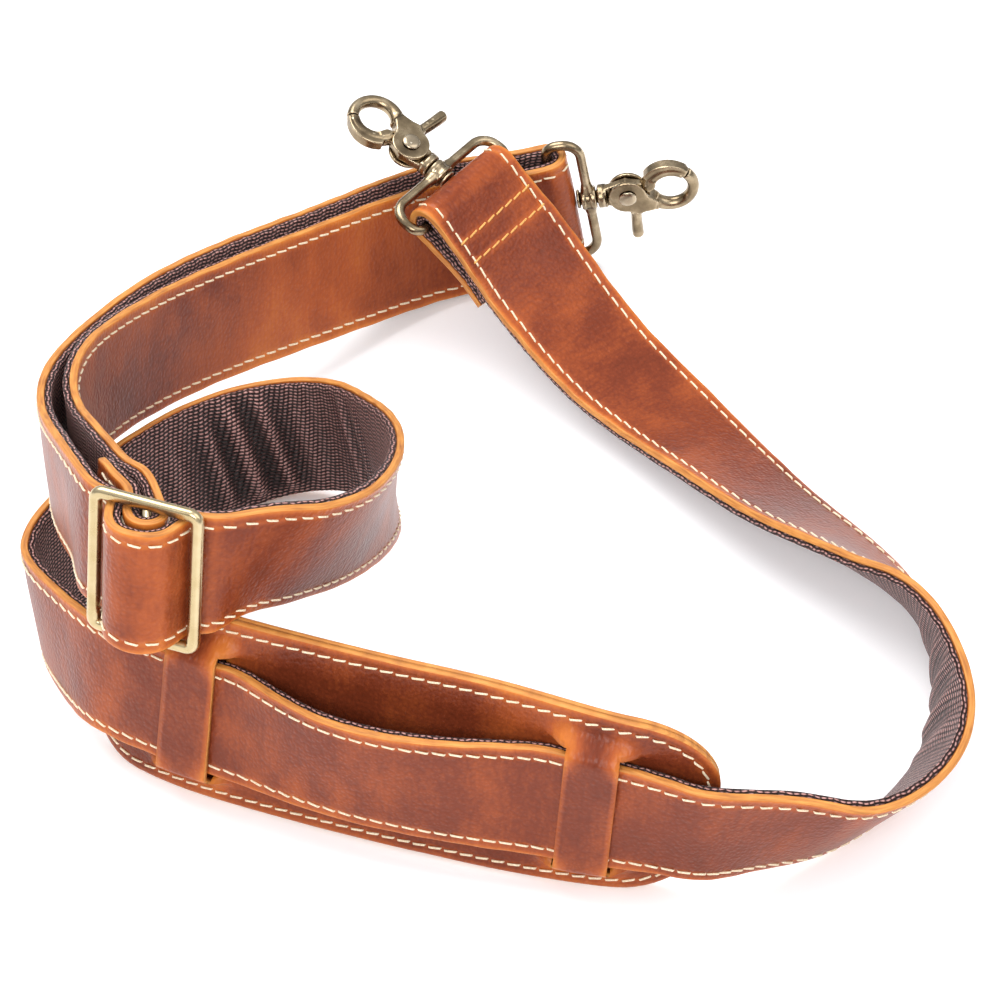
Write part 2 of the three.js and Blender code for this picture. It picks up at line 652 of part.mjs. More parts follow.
// Slider frame with its centre bar
function sliderFrame() {
  const shape = roundedOutline(new THREE.Shape(), SLIDER_LENGTH, SLIDER_HEIGHT, SLIDER_CORNER);
  const inLength = SLIDER_LENGTH - 2 * SLIDER_BAR;
  const inHeight = SLIDER_HEIGHT - 2 * SLIDER_BAR;
  shape.holes.push(roundedOutline(new THREE.Path(), inLength, inHeight, 1.5));
  const flat = { depth: SLIDER_THICK, bevelEnabled: false, curveSegments: 6 };
  const frame = new THREE.ExtrudeGeometry(shape, flat).translate(0, 0, -SLIDER_THICK / 2);
  const barLength = SLIDER_HEIGHT - SLIDER_BAR;
  const bar = new THREE.CylinderGeometry(SLIDER_CENTRE_BAR, SLIDER_CENTRE_BAR, barLength, 16);
  return fromSolid(toSolid(frame).add(toSolid(bar)));
}

// Place given by a point and two directions
function placeMatrix(at, x, y) {
  const z = new THREE.Vector3().crossVectors(x, y);
  return new THREE.Matrix4().makeBasis(x, y, z).setPosition(at);
}

// Place of a hook on the bar of its ring, swung about that bar
function hookMatrix(fold, outward, swingDeg) {
  const { up } = fold.frames[0];
  const x = outward.clone().applyAxisAngle(up, rad(swingDeg));
  return placeMatrix(fold.hub, x, up.clone().negate());
}

// Materials
function paint(color, metalness, roughness) {
  return new THREE.MeshStandardMaterial({ color, metalness, roughness });
}
const leather = () => paint(0x8a4426, 0, 0.55);
const webbing = () => paint(0x33231f, 0, 0.85);
const brass = () => paint(0xc2ab78, 1, 0.35);
const antique = () => paint(0x7d6a48, 1, 0.4);

const group = new THREE.Group();
group.name = 'bag_shoulder_strap';

// Named piece in its place
function addPiece(name, geometry, material, matrix) {
  const bare = geometry.clone();
  bare.deleteAttribute('normal');
  bare.deleteAttribute('uv');
  const welded = mergeVertices(bare, 1e-4);
  if (matrix) welded.applyMatrix4(matrix);
  welded.computeVertexNormals();
  const mesh = new THREE.Mesh(welded, material);
  mesh.name = name;
  group.add(mesh);
}

const half = SEAM_GAP / 2;
addPiece('strap_leather', sweepLayer(strapFrames, STRAP_WIDTH, half, half + LEATHER), leather());
addPiece('strap_webbing', sweepLayer(strapFrames, WEBBING_WIDTH, -half - WEBBING, -half), webbing());
addPiece('pad_front', padLayer(half, half + PAD_LAYER, true), leather());
addPiece('pad_backing', padLayer(-half - PAD_LAYER, -half, false), leather());
addPiece('slider_frame', sliderFrame(), brass(), placeMatrix(vec(SLIDER_AT), sliderAlong, sliderUp));

const hooks = [
  { side: 'a', matrix: hookMatrix(foldA, firstRun[0].along.clone().negate(), RING_A_SWING) },
  { side: 'b', matrix: hookMatrix(foldB, firstRun.at(-1).along.clone(), RING_B_SWING) },
];
hooks.forEach(({ side, matrix }) => {
  addPiece(`hook_ring_${side}`, hookRing(), antique(), matrix);
  addPiece(`hook_body_${side}`, hookBody(), antique(), matrix);
  addPiece(`hook_trigger_${side}`, hookTrigger(), antique(), matrix);
  addPiece(`hook_rivet_${side}`, hookRivet(), antique(), matrix);
});

// Origin under the middle of the whole object, at its lowest point
const extent = new THREE.Box3().setFromObject(group);
const middle = extent.getCenter(new THREE.Vector3());
group.position.set(-middle.x, -middle.y, -extent.min.z);

export default group;
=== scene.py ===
"""Looks of the bag shoulder strap: leather, webbing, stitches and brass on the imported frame."""
import json
import math

import bpy
import numpy as np
from mathutils import Matrix, Vector


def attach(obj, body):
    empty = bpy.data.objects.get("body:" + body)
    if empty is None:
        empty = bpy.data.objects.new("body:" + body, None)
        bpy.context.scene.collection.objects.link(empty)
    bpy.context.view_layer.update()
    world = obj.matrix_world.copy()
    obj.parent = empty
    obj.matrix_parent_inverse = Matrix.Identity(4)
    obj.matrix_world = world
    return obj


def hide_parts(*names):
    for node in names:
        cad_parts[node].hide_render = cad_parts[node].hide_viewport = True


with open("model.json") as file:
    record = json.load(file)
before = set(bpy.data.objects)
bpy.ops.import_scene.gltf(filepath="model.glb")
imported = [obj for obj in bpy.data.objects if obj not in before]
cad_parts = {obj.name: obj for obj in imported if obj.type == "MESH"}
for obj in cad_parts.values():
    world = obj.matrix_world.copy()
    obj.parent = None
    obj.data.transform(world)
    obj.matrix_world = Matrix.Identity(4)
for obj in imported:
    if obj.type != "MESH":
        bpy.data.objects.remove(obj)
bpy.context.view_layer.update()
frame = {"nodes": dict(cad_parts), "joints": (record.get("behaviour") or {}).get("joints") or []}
scene = bpy.context.scene

# Units: sizes below are millimetres, the frame is metres
MM = 0.001
UV_UNIT = 100.0
UP = np.array([0.0, 0.0, 1.0])

# Random fields and noise
SEED = 7
FIELD_WAVES = 9
FIELD_SPREAD = (0.8, 2.2)
FIELD_LEVEL = 0.7
NOISE_ROUGH = 0.55

# Strap; what is uneven has reach and amount
STRAP_HALF = 19.0
LEATHER = 2.2
LEATHER_ROUND = 0.7
WEBBING_HALF = 18.5
WEBBING = 1.8
WEBBING_ROUND = 0.6
LAYER_GAP = 0.12
WEAVE_ROW = 1.1
WEAVE_FLOAT = 1.7
WEAVE_WAVE = 6.5
WEAVE_SWAY = 0.22
WEAVE_SHIFT = 0.22
CURL_BACK = (-67.0, 2.0, 19.0)
U_TURN = (127.0, -98.0, 19.0)
RUNG_TOLERANCE = 0.001
PROBE_STEP = 12
SECTION_STEP = 1.2
SECTION_TURN_DEG = 6.0
CURL_RUNS = (600.0, 625.0, 838.0, 860.0)
CURL_CALM = 15.0
FACE_MARKS = [18.0, 17.4, 16.7, 16.2, 15.8, 15.4, 15.0, 14.4, 13.4, 11.5, 9.0, 6.0, 3.0]
LEATHER_CROWN = 0.14
LEATHER_UNEVEN = (16, 0.1)
EDGE_SWAY = (9, 0.12)
WEBBING_UNEVEN = (9, 0.08)
WEBBING_EDGE_WAVE = (1.6, 0.1)
WEBBING_EDGE = 0.3

# Rubbed places of the strap: reach and amount, after the place along the strap for a painted highlight
EDGE_WEAR = (1.5, 0.75)
SEAM_WEAR = (1.0, 0.34)
PATCH_WEAR = (70, 0.13)
SPOT_WEAR = (9, 0.07)
BEND_WEAR = 0.3
BEND_RANGE = (0.05, 0.16)
SLIDER_WEAR = (17, 0.1)
# Painted highlight: a lighter stretch of the leather that stands for a glossy sheen, not a rubbed place
PAINTED_SHEEN_RUN = (1305.0, 48.0, 0.3)
FOLD_WEAR = (1.5, 0.42)

# Wrinkles of the webbing: place from the curl's back or from the turn, rise, width, slant and top
CURL_WRINKLES = [
    (-30, 0.8, 3.4, -0.05, 12), (-17, 2.2, 2.4, -0.10, 17), (-8, 3.2, 2.9, -0.16, 20),
    (2, 2.8, 2.5, -0.17, 22), (13, 0.8, 3.6, -0.12, 14), (36, 1.8, 2.6, 0.02, 20), (45, 1.0, 2.2, 0.06, 18),
]
TURN_WRINKLES = [
    (-22, 0.8, 3.2, 0.3, 18), (-11, 1.2, 2.4, 0.34, 19), (-2, 1.1, 2.2, 0.3, 19),
    (8, 1.4, 2.4, 0.22, 18), (19, 0.9, 3.0, 0.15, 17),
]
WRINKLE_FADE = 12
WRINKLE_FOOT = (-18, -12)
# Spread of the painted shade round each wrinkle, as a share of its width
WRINKLE_SHADE_SPREAD = 2.6
# Painted light on the wrinkles: plain tone, painted highlight on the ridges and painted shade in the hollows
WRINKLE_LIGHT_AND_SHADE = (0.52, 0.30, 0.18)

# Stitches
STITCH_INSET = 3.3
STITCH_PITCH = 4.4
STITCH_LENGTH = 3.7
STITCH_RADIUS = 0.32
STITCH_SLANT = 0.11
STITCH_DIP_FROM = 0.38
STITCH_SPREAD = [-0.5, -0.46, -0.41, -0.28, 0.0, 0.28, 0.41, 0.46, 0.5]
STITCH_LIFT = 0.55
STITCH_SINK = 1.4
STITCH_TAPER = 0.4
STITCH_SIDES = 7
STITCH_MARGIN = 2.5
STITCH_PULL = 0.25
GROOVE_DEPTH = 0.24
GROOVE_WIDTH = 0.6
THREAD_BED = GROOVE_DEPTH / 2
CROSS_ROWS = [17.6, 24.6]
CROSS_MARGIN = 1.0
FOLD_REACH = 12

# Pad, on a plan whose origin lies at PLAN_ORIGIN in the frame; its foot has x, y and lean in degrees
PLAN_ORIGIN = np.array((2.7723, 23.6832, 0.2376))
PAD_HEIGHT = 63.0
PAD_LAYER = 1.8
PAD_CORNER = 24.0
PAD_GAP = 0.15
PAD_STEP = 1.5
PAD_STRAP_FOOT = 12.5
PAD_BRIDGE_RISE = 6.9
SLIT_WIDTH = 0.8
SLIT_LOW = 9.5
SLIT_HIGH = 53.6
SLITS_ALONG = [26.5, 41.0, 137.5, 152.5]
SLIT_SLANT = 0.06
SLIT_END_SPREAD = 4.5
SLIT_LIP = 1.1
STRAP_PLAY = 0.6
BRIDGE_FOOT = PAD_STRAP_FOOT - STRAP_PLAY
BRIDGE_HEAD = PAD_STRAP_FOOT + 2 * STRAP_HALF + STRAP_PLAY
PAD_EDGE_ROUND = 0.7
PAD_LIP = [0, 0.35]
PAD_LIP_END = 1.0
PAD_ROW_SHARE = 0.85
PAD_UNEVEN = (18, 0.1)
PAD_EDGE_WEAR = (1.4, 0.6)
PAD_SEAM_WEAR = (0.9, 0.3)
PAD_PATCH_WEAR = (45, 0.12)
SLIT_END_WEAR = (4, 5.5, 0.75)
SLIT_WEAR = (1.0, 0.6)
PAD_FOOT_STEPS = 12
PAD_END_STEPS = 16
PAD_SEAM_STEPS = 25
ROW_TOLERANCE = 1e-6
PAD_FOOT = [
    (57, -149.5, 5), (47, -150.5, 3), (33, -151, 0), (16, -148.5, -4), (-5, -143, -7), (-27, -136.5, -7),
    (-49, -129, -7), (-71, -121, -7), (-85, -115, -7), (-99, -107.5, -6), (-107, -99.5, -6), (-113, -90, -6),
]

# Slider, in its own plane
SLIDER_LENGTH = 32.0
SLIDER_HEIGHT = 46.0
SLIDER_BAR = 3.5
SLIDER_THICK = 3.0
SLIDER_CORNER = 4.0
SLIDER_SOFT = 1.3
SLIDER_CENTRE_BAR = 1.2
SLIDER_STEPS = 9
SLIDER_SOFT_STEPS = 6
SLIDER_BAR_SIDES = 16
SLIDER_AT = (-92.5, -116.4, 83.5)
SLIDER_ALONG = (-0.943, 0.333, 0.02)
SLIDER_UP = (0.088, 0.13, 0.987)

# Hooks, measured along the hook from the bar of its ring
RING_WIRE = 1.58
RING_HALF = 22.4
RING_DEPTH = 10.3
RING_INNER_CORNER = 3.6
RING_OUTER_CORNER = 5.5
RING_STEPS = 11
RIVET_AT = 22.3
PLATE_RADIUS = 5.8
PLATE_INNER = 1.6
PLATE_OUTER = 2.75
TONGUE_HALF = 1.2
EYE = (35.6, -0.3)
EYE_RADIUS = 7.0
EYE_HALF = 2.1
FIXED_JAW_DEG = (-172.0, -42.5)
JAW_RIM_DEG = [-142.0, -118.0, -95.0, -70.0, -46.0]
JAW_RIM_RADIUS = [9.7, 9.75, 9.5, 9.0, 8.6]
JAW_INNER = 5.3
JAW_FLAT_HALF = 1.8
MOVING_JAW_DEG = (-39.5, 150.0)
JAW_ROOT_DEG = -168
JAW_STEPS = 40
RIM_STEPS = 30
TUBE_SIDES = 20
TURNED_SIDES = 36
PLATE_SIDES = 48
JAW_WIDE = 1.85
JAW_THIN = 0.1
FIXED_JAW_FLARE = 0.75
MOVING_JAW_FLARE = 0.7
BARREL = [(8.15, 2.5), (8.15, 3.4), (8.4, 3.65), (9.2, 3.65), (9.5, 3.35), (10.9, 3.35), (11.2, 3.65),
          (12.4, 3.65), (12.7, 3.4), (12.7, 2.5)]
FLARE_AT = [2.5, 4.6, 6.4]
FLARE_RADIUS = [2.3, 1.9, 1.55]
STEM = [(6.65, 2.2), (6.75, 2.9), (7.2, 3.05), (7.6, 2.9), (7.7, 1.9), (13.0, 1.9), (13.15, 3.3),
        (13.4, 3.7), (14.9, 3.7), (15.4, 3.3), (15.6, 2.2)]
RIVET = [(-3.88, 0.8), (-3.75, 1.9), (-3.45, 2.6), (-3.12, 2.85), (-3.05, 1.75), (3.05, 1.75), (3.12, 2.85),
         (3.45, 2.6), (3.75, 1.9), (3.88, 0.8)]
LEVER = [(24.0, 6.0), (23.8, 9.0), (23.5, 12.0), (23.3, 15.0), (23.2, 17.3), (23.2, 17.9)]
LEVER_ACROSS = [1.8, 1.7, 1.75, 1.85, 1.85, 1.35]
LEVER_DEEP = [2.1, 2.25, 2.3, 2.3, 2.2, 1.6]
VOXEL = 0.24
SOFTEN_STEPS = 4

# Flat forms of a hook: outline and half thickness
SHOULDER = [(14.6, -3.1), (16.0, -3.2), (16.0, 3.2), (14.6, 3.1)], 2.15
TONGUE = [(14.8, -3.2), (20.0, -4.6), (22.3, -5.15), (27.6, -3.2), (29.6, -2.2), (29.4, 0.2), (26.2, 2.6),
          (22.3, 5.1), (20.0, 4.4), (14.8, 3.2)], TONGUE_HALF
JAW_LEDGE = [(28.55, -2.6), (29.6, -4.9), (31.6, -4.2), (30.6, -1.6), (29.6, -0.9), (28.5, -0.7)], 2.3
PLATE_WING = [(20.5, 5.2), (22.4, 5.9), (24.6, 7.4), (27.2, 6.6), (30.2, 6.2), (31.2, 3.2), (28.6, 0.6),
              (27.6, -1.6), (24.0, -2.0), (21.0, 1.0)]
JAW_ROOT = [(26.4, 5.0), (27.6, 6.6), (31.0, 6.6), (31.4, 3.4), (29.2, 1.2), (28.3, 1.4)], 2.4
LEVER_NECK = [(21.9, 5.4), (22.3, 7.4), (25.2, 7.4), (26.6, 6.4), (26.2, 5.2)], 2.1

# Colours, from the darkest stop to the brightest
STRAP_TONES = [(0.058, 0.010, 0.004), (0.165, 0.029, 0.009), (0.34, 0.071, 0.015), (0.56, 0.165, 0.026)]
PAD_TONES = [(0.058, 0.010, 0.004), (0.16, 0.029, 0.010), (0.33, 0.070, 0.016), (0.54, 0.16, 0.026)]
EDGE_TONES = [(0.30, 0.095, 0.018), (0.52, 0.20, 0.036), (0.70, 0.33, 0.075)]
WEBBING_TONES = [(0.005, 0.003, 0.003), (0.060, 0.024, 0.022), (0.55, 0.295, 0.265)]
CREAM_TONES = [(0.62, 0.47, 0.28), (0.90, 0.80, 0.62)]
AMBER_TONES = [(0.50, 0.20, 0.04), (0.82, 0.47, 0.13)]
SATIN_TONES = [(0.25, 0.175, 0.08), (0.42, 0.32, 0.165), (0.68, 0.57, 0.37)]
ANTIQUE_TONES = [(0.068, 0.048, 0.029), (0.265, 0.20, 0.122), (0.57, 0.46, 0.31)]
RIVET_TONES = [(0.18, 0.135, 0.085), (0.42, 0.34, 0.24), (0.80, 0.71, 0.56)]
SHEEN_TONE = (0.75, 0.5, 0.46, 1)
LEATHER_STOPS = [0.0, 0.32, 0.6, 1.0]
EDGE_STOPS = [0.3, 0.52, 0.78]
WEBBING_STOPS = [0.18, 0.62, 1.0]
THREAD_STOPS = [0.3, 0.7]
BRASS_STOPS = [0.2, 0.42, 0.66]

# Noises laid along the strap: stretch, scale and detail
PATCHES = ((1, 0.7, 1), 4.0, 3.0)
STREAKS = ((1, 0.14, 1), 75.0, 2.0)
PORES = ((1, 0.8, 1), 130.0, 2.0)
FIBRES = ((0.1, 1, 1), 130.0, 3.0)
EDGE_PATCHES = ((1, 1, 1), 14.0, 3.0)
SPECKLE = ((1, 1, 1), 70.0, 3.0)
PEBBLE_STRETCH = (1, 0.85, 1)
PEBBLE_SCALE = 95.0

# Noises in the frame: scale and detail
STRANDS = (2600.0, 2.0)
TARNISH = (160.0, 4.0)
BRUSHING = (1500.0, 3.0)

# Fine relief: strength and distance in metres
GRAIN_RELIEF = (0.5, 0.0005)
FIBRE_RELIEF = (0.5, 0.0004)
WEAVE_RELIEF = (0.9, 0.0007)
THREAD_RELIEF = (0.3, 0.0002)
BRUSH_RELIEF = (0.08, 0.0002)

# Floor and light
FLOOR_REACH = 4.0
FLOOR_DROP = 0.0002
FLOOR_TONE = (0.93, 0.93, 0.94, 1)
FLOOR_GLOW = (0.97, 0.98, 1.0, 1)
DOME_STOPS = [0.45, 0.5, 0.68, 1.0]
DOME_TONES = [(0.55, 0.55, 0.56), (0.30, 0.30, 0.31), (0.62, 0.63, 0.65), (1.0, 1.01, 1.03)]
LIGHTS = [
    ("key", (-0.6, 0.5, 1.6), 1.5, 27.0),
    ("fill", (1.0, -0.3, 1.3), 1.3, 8.0),
    ("front", (-0.2, -1.3, 1.0), 0.9, 14.0),
]

# Camera, turned to the plan's origin
CAMERA_DISTANCE = 1300.0
CAMERA_DOWN_DEG = 43.0
CAMERA_LENS = 160.0
CAMERA_SENSOR = 36.0
CAMERA_REACH = 20.0

random = np.random.default_rng(SEED)


def unit(vectors):
    """Vectors scaled to length one."""
    vectors = np.asarray(vectors, float)
    return vectors / np.linalg.norm(vectors, axis=-1, keepdims=True)


def run_along(points):
    """Distance along a path at each of its points."""
    return np.concatenate([[0], np.cumsum(np.linalg.norm(np.diff(points, axis=0), axis=1))])


def read_at(at, run, rows):
    """Rows of values along a run, read at other places."""
    return np.stack([np.interp(at, run, row) for row in rows.T], -1)


def circle(sides):
    """Angles of even steps round a circle."""
    return np.arange(sides) * 2 * math.pi / sides


def arc_points(cx, cy, radius, start, steps):
    """Points of a quarter circle from a start angle in degrees."""
    turn = np.radians(np.linspace(start, start + 90, steps))
    return [(cx + radius * math.cos(a), cy + radius * math.sin(a)) for a in turn]


def rounded(half_x, half_y, r, steps):
    """Outline of a rectangle with round corners about its middle."""
    corners = [(1, -1, -90), (1, 1, 0), (-1, 1, 90), (-1, -1, 180)]
    return np.array([p for sx, sy, start in corners
                     for p in arc_points(sx * (half_x - r), sy * (half_y - r), r, start, steps)])


def tube_faces(count, sides, closed=False, base=0):
    """Faces round a tube of rings, with its two ends unless it is closed."""
    faces = []
    for j in range(count if closed else count - 1):
        low = base + j * sides
        high = base + (j + 1) % count * sides
        for k in range(sides):
            m = (k + 1) % sides
            faces.append((low + k, low + m, high + m, high + k))
    if not closed:
        faces.append(tuple(base + k for k in range(sides))[::-1])
        faces.append(tuple(base + (count - 1) * sides + k for k in range(sides)))
    return faces


def field(u, v, length, amount):
    """Smooth random field with features of about a given length and amount."""
    total = 0.0
    for _ in range(FIELD_WAVES):
        turn = random.uniform(0, 2 * math.pi)
        scale = 2 * math.pi / (length * random.uniform(*FIELD_SPREAD))
        phase = random.uniform(0, 2 * math.pi)
        total = total + np.cos(scale * (u * math.cos(turn) + v * math.sin(turn)) + phase)
    return amount * (total / math.sqrt(FIELD_WAVES) * FIELD_LEVEL)


def bump_at(x, centre, width, height=1.0):
    """Bell of a height at a place."""
    return height * np.exp(-(((x - centre) / width) ** 2))


def smoothstep(x, low, high):
    """Rises smoothly from 0 to 1 between two values."""
    t = np.clip((x - low) / (high - low), 0, 1)
    return t * t * (3 - 2 * t)


def hermite(x, y, at):
    """Smooth curve through the values y at x, read at other places."""
    slope = np.gradient(y, x, axis=0)
    i = np.clip(np.searchsorted(x, at, side="right") - 1, 0, len(x) - 2)
    step = (x[i + 1] - x[i])[:, None]
    t = (at - x[i])[:, None] / step
    start = (1 + 2 * t) * (1 - t) ** 2 * y[i] + t * (1 - t) ** 2 * step * slope[i]
    end = t * t * (3 - 2 * t) * y[i + 1] + t * t * (t - 1) * step * slope[i + 1]
    return start + end


def welded(node):
    """Points of a CAD node in millimetres and its triangles, with shared corners."""
    mesh = frame["nodes"][node].data
    flat = np.empty(3 * len(mesh.vertices), np.float32)
    mesh.vertices.foreach_get("co", flat)
    points, index = np.unique(flat.reshape(-1, 3), axis=0, return_inverse=True)
    mesh.calc_loop_triangles()
    corners = np.empty(3 * len(mesh.loop_triangles), np.int32)
    mesh.loop_triangles.foreach_get("vertices", corners)
    return points.astype(float) / MM, index.reshape(-1)[corners].reshape(-1, 3)


def rung_chains(points, triangles, width, thick):
    """Cross lines of a strap layer in order along its two faces, as arrays of end point pairs."""
    partner = {}
    third = {}
    for corners in triangles.tolist():
        for k in range(3):
            a, b, c = corners[k], corners[(k + 1) % 3], corners[(k + 2) % 3]
            if abs(np.linalg.norm(points[a] - points[b]) - width) < RUNG_TOLERANCE:
                partner[a] = b
                partner[b] = a
                third.setdefault(frozenset((a, b)), []).append(c)
    middle = {rung: points[list(rung)].mean(0) for rung in third}
    linked = {rung: [frozenset((c, partner[c])) for c in ends] for rung, ends in third.items()}

    def across(rung, other):
        return abs(np.linalg.norm(middle[rung] - middle[other]) - thick) < RUNG_TOLERANCE

    caps = [(rung, other) for rung, others in linked.items() for other in others if across(rung, other)]
    start = max(caps, key=lambda pair: middle[pair[0]][1])
    chains = []
    for rung in start:
        chain = [rung]
        seen = set(start)
        while True:
            following = [r for r in linked[chain[-1]] if r not in seen and not across(chain[-1], r)]
            if not following:
                break
            chain.append(following[0])
            seen.add(following[0])
        chains.append(np.array([points[list(r)] for r in chain]))
    return chains


def orient(chain):
    """Cross lines all turned from the lower edge to the upper edge."""
    out = chain.copy()
    for i in range(1, len(out)):
        if np.dot(out[i, 1] - out[i, 0], out[i - 1, 1] - out[i - 1, 0]) < 0:
            out[i] = out[i, ::-1]
    if (out[:, 1, 2] - out[:, 0, 2]).sum() < 0:
        out = out[:, ::-1]
    return out


def calmed(run, values):
    """Values along a run drawn to a smoother curve, by a local curve fit at each place."""
    out = np.empty_like(values)
    for i, at in enumerate(run):
        low, high = np.searchsorted(run, (at - 3 * CURL_CALM, at + 3 * CURL_CALM))
        apart = run[low:high] - at
        basis = np.stack([apart ** k for k in range(3)], -1)
        weight = np.exp(-0.5 * (apart / CURL_CALM) ** 2)[:, None]
        out[i] = np.linalg.solve(basis.T @ (basis * weight), basis.T @ (values[low:high] * weight))[0]
    return out


def square_to(up, face):
    """Face directions turned square to the up directions."""
    return unit(face - (face * up).sum(1)[:, None] * up)


def strap_sections():
    """Fine sections of the strap: run along it, middle of the leather's inner face, up and face."""
    points, triangles = welded("strap_leather")
    chains = rung_chains(points, triangles, 2 * STRAP_HALF, LEATHER)
    webbing, _ = welded("strap_webbing")
    near = [np.linalg.norm(c[::PROBE_STEP, :1] - webbing, axis=2).min(1).mean() for c in chains]
    inner, outer = chains if near[0] < near[1] else chains[::-1]
    inner = orient(inner)
    middle = inner.mean(1)
    up = unit(inner[:, 1] - inner[:, 0])
    face = unit(outer.mean(1) - middle)
    steps = np.linalg.norm(np.diff(middle, axis=0), axis=1)
    turns = np.degrees(np.arccos(np.clip((face[1:] * face[:-1]).sum(1), -1, 1)))
    run = run_along(middle)
    weight = np.concatenate([[0], np.cumsum(steps / SECTION_STEP + turns / SECTION_TURN_DEG)])
    at = np.interp(np.linspace(0, weight[-1], math.ceil(weight[-1]) + 1), weight, run)
    up = unit(hermite(run, up, at))
    face = square_to(up, hermite(run, face, at))
    middle = hermite(run, middle, at)
    first, full, ease, last = CURL_RUNS
    share = (smoothstep(at, first, full) * (1 - smoothstep(at, ease, last)))[:, None]
    middle = middle + share * (calmed(at, middle) - middle)
    up = unit(up + share * (calmed(at, up) - up))
    return {"run": at, "middle": middle, "up": up, "face": square_to(up, face)}


def section_at(sections, run):
    """Middle, up, face and along of the strap at places along it."""
    middle, up, face = (read_at(run, sections["run"], sections[key]) for key in ("middle", "up", "face"))
    up = unit(up)
    face = unit(face)
    return middle, up, face, np.cross(face, up)


def nearest_run(sections, place):
    """Distance along the strap of its point nearest to a place on the plan."""
    apart = np.linalg.norm(sections["middle"] - (PLAN_ORIGIN + place), axis=1)
    return sections["run"][np.argmin(apart)]


def layer_points(sections, across, out):
    """Points of a strap layer, from places across the strap and out of it."""
    points = sections["middle"][:, None] + sections["up"][:, None] * across[..., None]
    return points + sections["face"][:, None] * out[..., None]


def make_piece(name, points, faces, materials, slots=None, uv=None, wear_and_painted_light=None):
    """Smooth mesh from points in millimetres, with material slots, strap coordinates, and wear with painted
    light.
    """
    mesh = bpy.data.meshes.new(name)
    mesh.from_pydata((np.asarray(points) * MM).tolist(), [], faces)
    mesh.polygons.foreach_set("use_smooth", np.ones(len(mesh.polygons), bool))
    for material in materials:
        mesh.materials.append(material)
    if slots is not None:
        mesh.polygons.foreach_set("material_index", np.asarray(slots, np.int32))
    if uv is not None:
        corner = np.empty(len(mesh.loops), np.int32)
        mesh.loops.foreach_get("vertex_index", corner)
        layer = mesh.uv_layers.new(name="lay")
        layer.data.foreach_set("uv", (np.asarray(uv)[corner] / UV_UNIT).astype(np.float32).ravel())
    # The stored values hold wear, and on some pieces painted highlight and painted shade
    if wear_and_painted_light is not None:
        attribute = mesh.attributes.new("wear_and_painted_light", "FLOAT", "POINT")
        attribute.data.foreach_set("value", np.asarray(wear_and_painted_light, np.float32))
    mesh.update()
    piece = bpy.data.objects.new(name, mesh)
    scene.collection.objects.link(piece)
    return piece


def layer_profile(half, thick, edge_round, marks):
    """Closed cross profile of a strap layer from the middle of its hidden face, and its cut edges."""
    small = edge_round / 2
    arc = np.radians([0, 30, 60, 90])
    hidden = [(0, 0), (half * 0.5, 0)]
    lower = [(half - small + small * math.sin(a), small - small * math.cos(a)) for a in arc]
    side = [(half, thick * 0.45)]
    turned = thick - edge_round
    upper = [(half - edge_round + edge_round * math.cos(a), turned + edge_round * math.sin(a)) for a in arc]
    shown = [(w, thick) for w in marks]
    right = hidden + lower + side + upper + shown
    left = [(-w, d) for w, d in reversed(right[1:])]
    profile = np.array(right + [(0, thick)] + left)
    edge = np.zeros(len(profile), bool)
    edge[len(hidden):len(right) - len(shown) - 2] = True
    edge |= edge[::-1]
    return profile, edge


def strip_faces(count, ring, flipped):
    """Quads of a closed strip of sections, with its two ends."""
    faces = []
    for j in range(count - 1):
        for k in range(ring):
            n = (k + 1) % ring
            faces.append((j * ring + k, (j + 1) * ring + k, (j + 1) * ring + n, j * ring + n))
    faces.append(tuple(range(ring)))
    faces.append(tuple((count - 1) * ring + k for k in range(ring))[::-1])
    return [face[::-1] for face in faces] if flipped else faces


def layer_piece(name, points, flipped, run, profile, wear_and_painted_light, materials, slots=None):
    """Strap layer with its strap coordinates: distance along the strap and round the layer."""
    count, ring = points.shape[:2]
    uv = np.stack(np.broadcast_arrays(run, run_along(profile)), -1)
    return make_piece(name, points.reshape(-1, 3), strip_faces(count, ring, flipped), materials, slots,
                      uv.reshape(-1, 2), np.clip(wear_and_painted_light, 0, 1).ravel())


def leather_strip(sections, cross_runs, materials):
    """Leather layer with rounded cut edges, sunk stitch lines, worn places and a painted highlight along one
    stretch.
    """
    profile, edge = layer_profile(STRAP_HALF, LEATHER, LEATHER_ROUND, FACE_MARKS)
    run = sections["run"][:, None]
    w, d = profile.T[:, None]
    wide = np.abs(w)
    inset = STRAP_HALF - STITCH_INSET
    shown = (d > LEATHER * 0.9).astype(float)
    pull = 1 - STITCH_PULL + STITCH_PULL * np.cos(2 * math.pi * run / STITCH_PITCH)
    groove = GROOVE_DEPTH * bump_at(wide, inset, GROOVE_WIDTH) * pull
    crown = LEATHER_CROWN * np.clip(1 - (w / inset) ** 2, 0, 1)
    out = d + shown * (crown - groove + field(run, w, *LEATHER_UNEVEN))
    sway = field(run, w * 0, *EDGE_SWAY) * np.sign(w) * (wide > inset)
    points = layer_points(sections, w + sway, out)
    bend = np.linalg.norm(np.gradient(sections["face"], sections["run"], axis=0), axis=1)[:, None]
    slider = PLAN_ORIGIN + SLIDER_AT
    worn = bump_at(wide, STRAP_HALF, *EDGE_WEAR) + bump_at(wide, inset, *SEAM_WEAR)
    worn = worn + field(run, w, *PATCH_WEAR) + field(run, w, *SPOT_WEAR)
    worn = worn + BEND_WEAR * smoothstep(bend, *BEND_RANGE)
    worn = worn + bump_at(np.linalg.norm(points - slider, axis=2), 0, *SLIDER_WEAR)
    # Painted highlight: a sheen painted into the stored wear over one stretch of the strap
    worn = worn + bump_at(run, *PAINTED_SHEEN_RUN)
    for at in cross_runs:
        worn = worn + bump_at(run, at, *FOLD_WEAR) * (wide < inset)
    slots = np.concatenate([np.tile(edge, len(run) - 1), [1, 1]]).astype(int)
    return layer_piece("strap_leather_skin", points, False, run, profile, worn, materials, slots)


